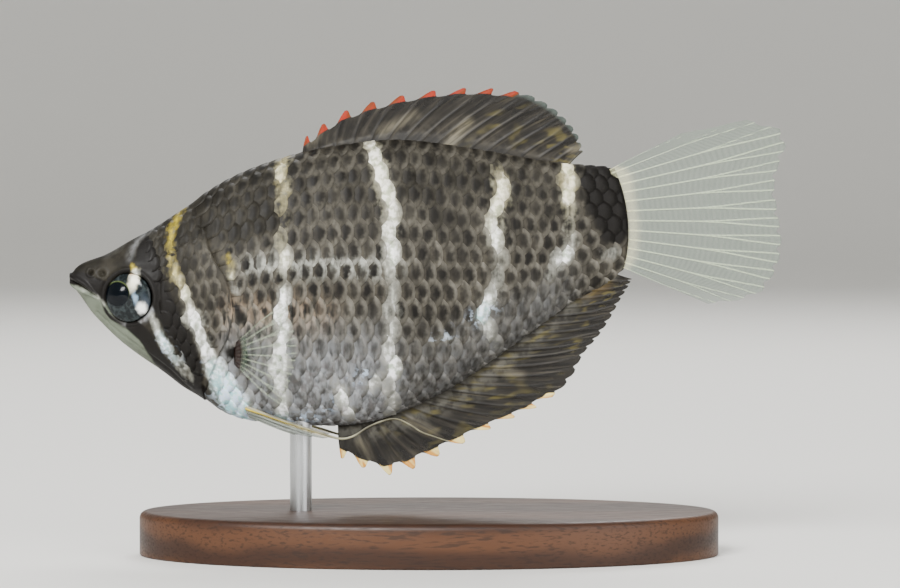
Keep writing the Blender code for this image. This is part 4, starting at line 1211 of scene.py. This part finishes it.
def make_median_fins(clear):
    """The dorsal, anal and tail fins."""
    red = dark_fin_material("painted_resin_dorsal_fin", dots_from=0.45, dots_along=3.6,
                            flag_codes=("8f2816", "70300f"), tip_code="5c6862", root_code="403c34")
    cream = dark_fin_material("painted_resin_anal_fin", dots_from=0.1, dots_along=4.2,
                              flag_codes=("ead487", "c98a34"), tip_code="2a2620", root_code="5b5951")
    rays = median_rays(DORSAL_RAYS, ridge_roots(DORSAL_BASE_X, QUARTER), DORSAL_TIPS, DORSAL_BOW)
    make_fin("dorsal_fin", rays, red, "dark_fin", UPRIGHT_BUILD, DORSAL_SPINES, UPRIGHT_FORK,
             paint=DORSAL_PAINT)
    rays = median_rays(ANAL_RAYS, ridge_roots(ANAL_BASE_X, -QUARTER), ANAL_TIPS, ANAL_BOW)
    make_fin("anal_fin", rays, cream, "dark_fin", UPRIGHT_BUILD, ANAL_SPINES, UPRIGHT_FORK,
             paint=ANAL_PAINT)
    turns = np.linspace(*CAUDAL_TURNS, ROOT_STEPS)
    ends = body_point(np.full(ROOT_STEPS, TAIL_BASE_X), turns) * (1, 0, 1) - (ROOT_SINK, 0, 0)
    rays = median_rays(CAUDAL_RAYS, ends, CAUDAL_TIPS, 0.0, CAUDAL_SWAY)
    make_fin("caudal_fin", rays, clear, "clear_fin", CAUDAL_BUILD, fork=CAUDAL_FORK)


def make_pectoral_fin(side, clear):
    """A clear fan on a short upright base behind the gill cover, held out from the flank."""
    share = np.linspace(0, 1, PECTORAL_RAYS)
    rise = 1 - 2 * share
    level = np.cos(PECTORAL_SPREAD * rise)
    out = (math.cos(PECTORAL_OUT), side * math.sin(PECTORAL_OUT))
    lean = np.stack([level * out[0], level * out[1], np.sin(PECTORAL_SPREAD * rise)], -1)
    base = (PECTORAL_X, side * (flank_y(PECTORAL_X, PECTORAL_Z) - PECTORAL_SINK), PECTORAL_Z)
    root = base + rise[:, None] * (0, 0, PECTORAL_BASE / 2)
    length = PECTORAL_LENGTH * (1 - PECTORAL_ROUNDING * np.abs(share - PECTORAL_LONGEST))
    tip = root + lean * length[:, None]
    middle = (root + tip) / 2 + (PECTORAL_BOW[0], side * PECTORAL_BOW[1], 0)
    make_fin(sided("pectoral_fin", side), (root, middle, tip), clear, "clear_fin", PECTORAL_BUILD,
             fork=PECTORAL_FORK, soft_step=PECTORAL_STEP)


def belly_root(x, y):
    """A point under the belly at a place seen from below, sunk a little into the skin."""
    level = widest_z(x)
    share = math.sqrt(1 - (abs(y) / half_width(x)) ** (2 / RIDGE))
    return np.array([x, y, level - (level - belly_z(x)) * share + PELVIC_SINK])


def make_pelvic_fin(side, film, line):
    """A small folded fan under the belly, and the long thread that its first ray is drawn out to."""
    shares = np.linspace(0, 1, len(PELVIC_TIPS))
    root = np.array([belly_root(mix(*PELVIC_ROOT_X, t), side * mix(*PELVIC_ROOT_Y, t)) for t in shares])
    tip = np.array(PELVIC_TIPS) * (1, side, 1)
    middle = (root + tip) / 2 + (0, side * PELVIC_BOW[0], PELVIC_BOW[1])
    rays = (root, middle, tip)
    make_fin(sided("pelvic_fin", side), rays, film, "dark_fin", PELVIC_BUILD)
    start = fan_point(rays, np.zeros(THREAD_START_STEPS), np.linspace(0, 1, THREAD_START_STEPS))
    way = np.vstack([start, np.array(PELVIC_THREAD) * (1, side, 1)])
    shares = np.linspace(0, 1, THREAD_STEPS)
    curve = bpy.data.curves.new("thread", "CURVE")
    curve.dimensions = "3D"
    curve.bevel_depth = THREAD_RADIUS * MM
    curve.bevel_resolution = 4
    curve.use_fill_caps = True
    spline = curve.splines.new("POLY")
    spline.points.add(THREAD_STEPS - 1)
    for point, place, share in zip(spline.points, smooth_path(way, shares), shares):
        point.co = (*(place * MM), 1)
        point.radius = 1 - THREAD_TAPER * share
    mesh = taken_out(put_in_scene("thread", curve))
    tidy_mesh(mesh)
    add_piece(sided("pelvic_thread", side), mesh, line, "dark_fin")


def pelvic_film_material():
    """Thin painted resin: a yellow leading line, then a milky grey film."""
    material, tree = new_material("painted_resin_pelvic_film")
    number = add(tree, "Attribute", {}, "Fac", attribute_name="number")
    ray = add(tree, "Attribute", {}, "Fac", attribute_name="ray")
    colour = lay_coats(tree, linear("c2ac3a"), [([], number, (0.04, 0.22), (0.0, 1.0), "868c84")])
    alpha = add(tree, "MapRange", (ray, 0.1, 0.8, 0.4, 0.95))
    shader = add(tree, "BsdfPrincipled", {
        "Base Color": colour, "Alpha": alpha, "Roughness": 0.4, "Specular IOR Level": 0.3,
    })
    add(tree, "OutputMaterial", {"Surface": shader})
    return material


def thread_material():
    """Nylon thread dyed grey-green, paler along its length in soft patches."""
    material, tree = new_material("dyed_nylon_thread")
    place = add(tree, "TexCoord", {}, "Object")
    patches = add(tree, "TexNoise", {"Vector": place, "Scale": per_mm(2.0), "Detail": 2.0})
    colour = lay_coats(tree, linear("4d4937"), [([], patches, (0.35, 0.65), (0.0, 1.0), "8f8b70")])
    shader = add(tree, "BsdfPrincipled", {"Base Color": colour, "Roughness": 0.45})
    add(tree, "OutputMaterial", {"Surface": shader})
    return material


def eye_material():
    """Cast glass, painted behind: a blue-black pupil in a dark iris with pale flecks, glossy as if wet."""
    material, tree = new_material("cast_glass_eye")
    place = add(tree, "TexCoord", {}, "Object")
    flecks = add(tree, "TexNoise", {"Vector": place, "Scale": per_mm(0.3), "Detail": 3.0})
    spread = add(tree, "TexNoise", {"Vector": place, "Scale": per_mm(0.35), "Detail": 3.0}, "Color")
    centred = add(tree, "VectorMath", (spread, (0.5, 0.5, 0.5)), operation="SUBTRACT")
    shift = add(tree, "VectorMath", {0: centred, 3: 0.4 * MM}, operation="SCALE")
    ragged = add(tree, "VectorMath", (place, shift), operation="ADD")
    colour = lay_coats(tree, linear("121617"), [([], flecks, (0.4, 0.65), (0.0, 1.0), "292f30")])
    for (x, z), half, tilt, soft, way, code in EYE_PAINT:
        from_place = ragged if way == "ragged" else place
        off = add(tree, "VectorMath", (from_place, (x * MM, 0, z * MM)), operation="SUBTRACT")
        turned = add(tree, "VectorRotate", {0: off, 3: tilt}, rotation_type="Y_AXIS")
        scale = (1 / (half[0] * MM), 0.0, 1 / (half[1] * MM))
        share = add(tree, "VectorMath", (turned, scale), operation="MULTIPLY")
        gap = add(tree, "VectorMath", (share,), operation="LENGTH")
        colour = lay_coats(tree, colour, [([], gap, (1 + soft, 1 - soft), (0.0, 1.0), code)])
    shader = add(tree, "BsdfPrincipled", {
        "Base Color": colour, "Roughness": 0.15, "Specular IOR Level": 0.1, "Coat Weight": 0.16,
        "Coat Roughness": 0.03,
    })
    add(tree, "OutputMaterial", {"Surface": shader})
    return material


def make_eye(side, material):
    """A glass eye: a shallow globe with the lens bulging a little at the pupil."""
    shape = bmesh.new()
    bmesh.ops.create_uvsphere(shape, u_segments=EYE_SIDES[0], v_segments=EYE_SIDES[1], radius=1)
    mesh = mesh_of(shape, "eye")
    local = get_places(mesh) * MM
    in_front = local[:, 2] > 0
    local[:, :2] *= EYE_RADIUS - EYE_CLEARANCE
    local[:, 2] *= np.where(in_front, EYE_FRONT - LENS_ROOM, EYE_BACK)
    outward = Matrix.Rotation(QUARTER * -side, 4, "X")
    forward = Matrix.Rotation(EYE_TURN * side, 4, "Z")
    turned = np.array(forward @ outward)[:3, :3]
    places = local @ turned.T + (EYE[0], side * EYE[1], EYE[2])
    gap = np.hypot(places[:, 0] - PUPIL[0], places[:, 2] - PUPIL[1])
    lens = LENS_BULGE * (1 - smoothstep(*LENS_EDGE, gap / PUPIL_RADIUS)) * in_front
    set_places(mesh, places + lens[:, None] * turned[:, 2])
    tidy_mesh(mesh)
    name = sided("eye", side)
    add_piece(name, mesh, material, "eye", name)


def walnut_material():
    """Oiled walnut, planed along the grain: dark brown with darker pores in long streaks."""
    material, tree = new_material("oiled_walnut")
    place = add(tree, "TexCoord", {}, "Object")
    turned = add(tree, "Mapping", {0: place, 1: (0.0, 0.004, 0.03), 3: (0.1, 1.0, 1.0)})
    rings = add(tree, "TexWave", {
        "Vector": turned, "Scale": per_mm(9), "Distortion": 4.0, "Detail": 3.0, "Detail Scale": 1.5,
    }, "Fac", wave_type="RINGS", rings_direction="X")
    pores = add(tree, "TexNoise", {"Vector": turned, "Scale": per_mm(0.16), "Detail": 4.0})
    colour = lay_coats(tree, linear("2f1b10"), [
        ([], rings, (0.0, 1.0), (0.0, 1.0), "4b2f1c"),
        ([], pores, (0.5, 0.66), (0.0, 0.6), "1b0f08"),
    ])
    rough = add(tree, "MapRange", (pores, 0.3, 0.7, 0.35, 0.55))
    bumps = add(tree, "Bump", {"Height": pores, "Strength": 0.2, "Distance": 0.03 * MM}, invert=True)
    shader = add(tree, "BsdfPrincipled", {
        "Base Color": colour, "Roughness": rough, "Normal": bumps, "Specular IOR Level": 0.3,
    })
    add(tree, "OutputMaterial", {"Surface": shader})
    return material


def steel_material():
    """Stainless steel, brushed along the rod: fine upright lines in the shine, coarse enough to show."""
    material, tree = new_material("brushed_stainless_steel")
    place = add(tree, "TexCoord", {}, "Object")
    drawn = add(tree, "Mapping", {0: place, 3: (1.0, 1.0, 0.03)})
    lines = add(tree, "TexNoise", {"Vector": drawn, "Scale": per_mm(0.08), "Detail": 3.0})
    rough = add(tree, "MapRange", (lines, 0.3, 0.7, 0.22, 0.42))
    bumps = add(tree, "Bump", {"Height": lines, "Strength": 0.15, "Distance": 0.02 * MM})
    shader = add(tree, "BsdfPrincipled", {
        "Base Color": linear("b9bbbd"), "Metallic": 1.0, "Roughness": rough, "Normal": bumps,
    })
    add(tree, "OutputMaterial", {"Surface": shader})
    return material


def round_block(name, sides):
    """A round or oval block that fills the box of the solid of that name, in mm."""
    low, high = (np.array(corner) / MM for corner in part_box(name))
    wide, deep, tall = high - low
    shape = bmesh.new()
    bmesh.ops.create_cone(shape, cap_ends=True, segments=sides, radius1=0.5, radius2=0.5, depth=tall)
    bmesh.ops.scale(shape, verts=shape.verts, vec=(wide, deep, 1))
    bmesh.ops.translate(shape, verts=shape.verts, vec=(low + high) / 2)
    return shape


def make_stand():
    """An oval walnut base, turned and with a softly rounded edge, and a round steel rod."""
    base = round_block("stand_base", BASE_SIDES)
    middle = np.mean([vert.co.z for vert in base.verts])
    for upper, offset in ((True, BASE_ROUNDING), (False, BASE_FOOT)):
        rim = [
            edge for edge in base.edges
            if all((vert.co.z > middle) == upper for vert in edge.verts)
            and any(len(face.verts) > 4 for face in edge.link_faces)
        ]
        bmesh.ops.bevel(base, geom=rim, offset=offset, segments=BEVEL_STEPS, profile=0.5, affect="EDGES",
                        material=-1)
    add_shape("stand_base", base, walnut_material(), "walnut")
    add_shape("stand_rod", round_block("stand_rod", ROD_SIDES), steel_material(), "steel")


def add_shape(name, shape, material, slot):
    """A shape built in mm, made into a piece that takes the place of the solid of that name."""
    mesh = mesh_of(shape, name)
    set_places(mesh, get_places(mesh) * MM)
    add_piece(name, mesh, material, slot, name)
    mesh.set_sharp_from_angle(angle=SHARP)


def make_stage():
    """A pale round bowl: a flat floor that turns up into a wall, the same from every side."""
    turns = np.linspace(0, QUARTER, BOWL_STEPS + 1)
    radii = [0, *(FLOOR_RADIUS + BOWL_CURVE * np.sin(turns)), FLOOR_RADIUS + BOWL_CURVE]
    heights = [0, *(BOWL_CURVE * (1 - np.cos(turns))), WALL_HEIGHT]
    shape = bmesh.new()
    verts = [shape.verts.new((r, 0, z)) for r, z in zip(radii, heights)]
    edges = [shape.edges.new(pair) for pair in zip(verts, verts[1:])]
    bmesh.ops.spin(shape, geom=verts + edges, cent=(0, 0, 0), axis=(0, 0, 1), angle=2 * math.pi,
                   steps=BOWL_SIDES, use_merge=True)
    bmesh.ops.remove_doubles(shape, verts=shape.verts, dist=0.01 * MM)
    bmesh.ops.recalc_face_normals(shape, faces=shape.faces)
    mesh = mesh_of(shape, "floor")
    mesh.shade_smooth()
    material, tree = new_material("matt_painted_floor")
    shader = add(tree, "BsdfPrincipled", {"Base Color": linear("dfddd8"), "Roughness": 0.8})
    add(tree, "OutputMaterial", {"Surface": shader})
    mesh.materials.append(material)
    floor = put_in_scene("floor", mesh)


def add_light(name, place, size, power):
    """A square soft box that faces the fish."""
    light = bpy.data.lights.new(name, "AREA")
    light.size = size
    light.energy = power
    holder = put_in_scene(name, light)
    holder.rotation_euler = (Vector(place) - Vector(LIGHT_AIM)).to_track_quat("Z", "Y").to_euler()
    holder.location = place


def make_studio():
    """Soft boxes, a pale sky and the camera."""
    for box in SOFT_BOXES:
        add_light(*box)
    world = bpy.data.worlds.new("studio")
    world.use_nodes = True
    background = world.node_tree.nodes["Background"]
    background.inputs["Color"].default_value = linear(SKY[0])
    background.inputs["Strength"].default_value = SKY[1]
    bpy.context.scene.world = world
    camera = bpy.data.cameras.new("camera")
    camera.lens = LENS
    camera.sensor_width = SENSOR
    camera.clip_start = CLIP_START
    holder = put_in_scene("camera", camera)
    distance = FRAME_WIDTH * LENS / SENSOR
    off = (0, -distance * math.cos(ELEVATION), distance * math.sin(ELEVATION))
    holder.location = (Vector(AIM) + Vector(off)) * MM
    holder.rotation_euler = (QUARTER - ELEVATION, 0, 0)
    bpy.context.scene.camera = holder


def clear_scene():
    """Takes away what the scene opens with."""
    for old in list(bpy.data.objects):
        bpy.data.objects.remove(old, do_unlink=True)


clear_scene()
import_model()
make_studio()
make_stage()
make_stand()
make_skin()
glass = eye_material()
clear_resin = clear_fin_material("clear_resin_fin", film_alpha=0.25, ray_alpha=0.8, root_alpha=0.3,
                                 root_reach=0.14, root_code="c6c6a0")
film_resin = clear_fin_material("clear_resin_pectoral", film_alpha=0.03, ray_alpha=0.3, root_alpha=0.9,
                                root_reach=0.2, root_code="1a0c07")
pelvic_film = pelvic_film_material()
thread = thread_material()
make_median_fins(clear_resin)
for flank in (-1, 1):
    make_scales(flank)
    make_eye(flank, glass)
    make_pectoral_fin(flank, film_resin)
    make_pelvic_fin(flank, pelvic_film, thread)
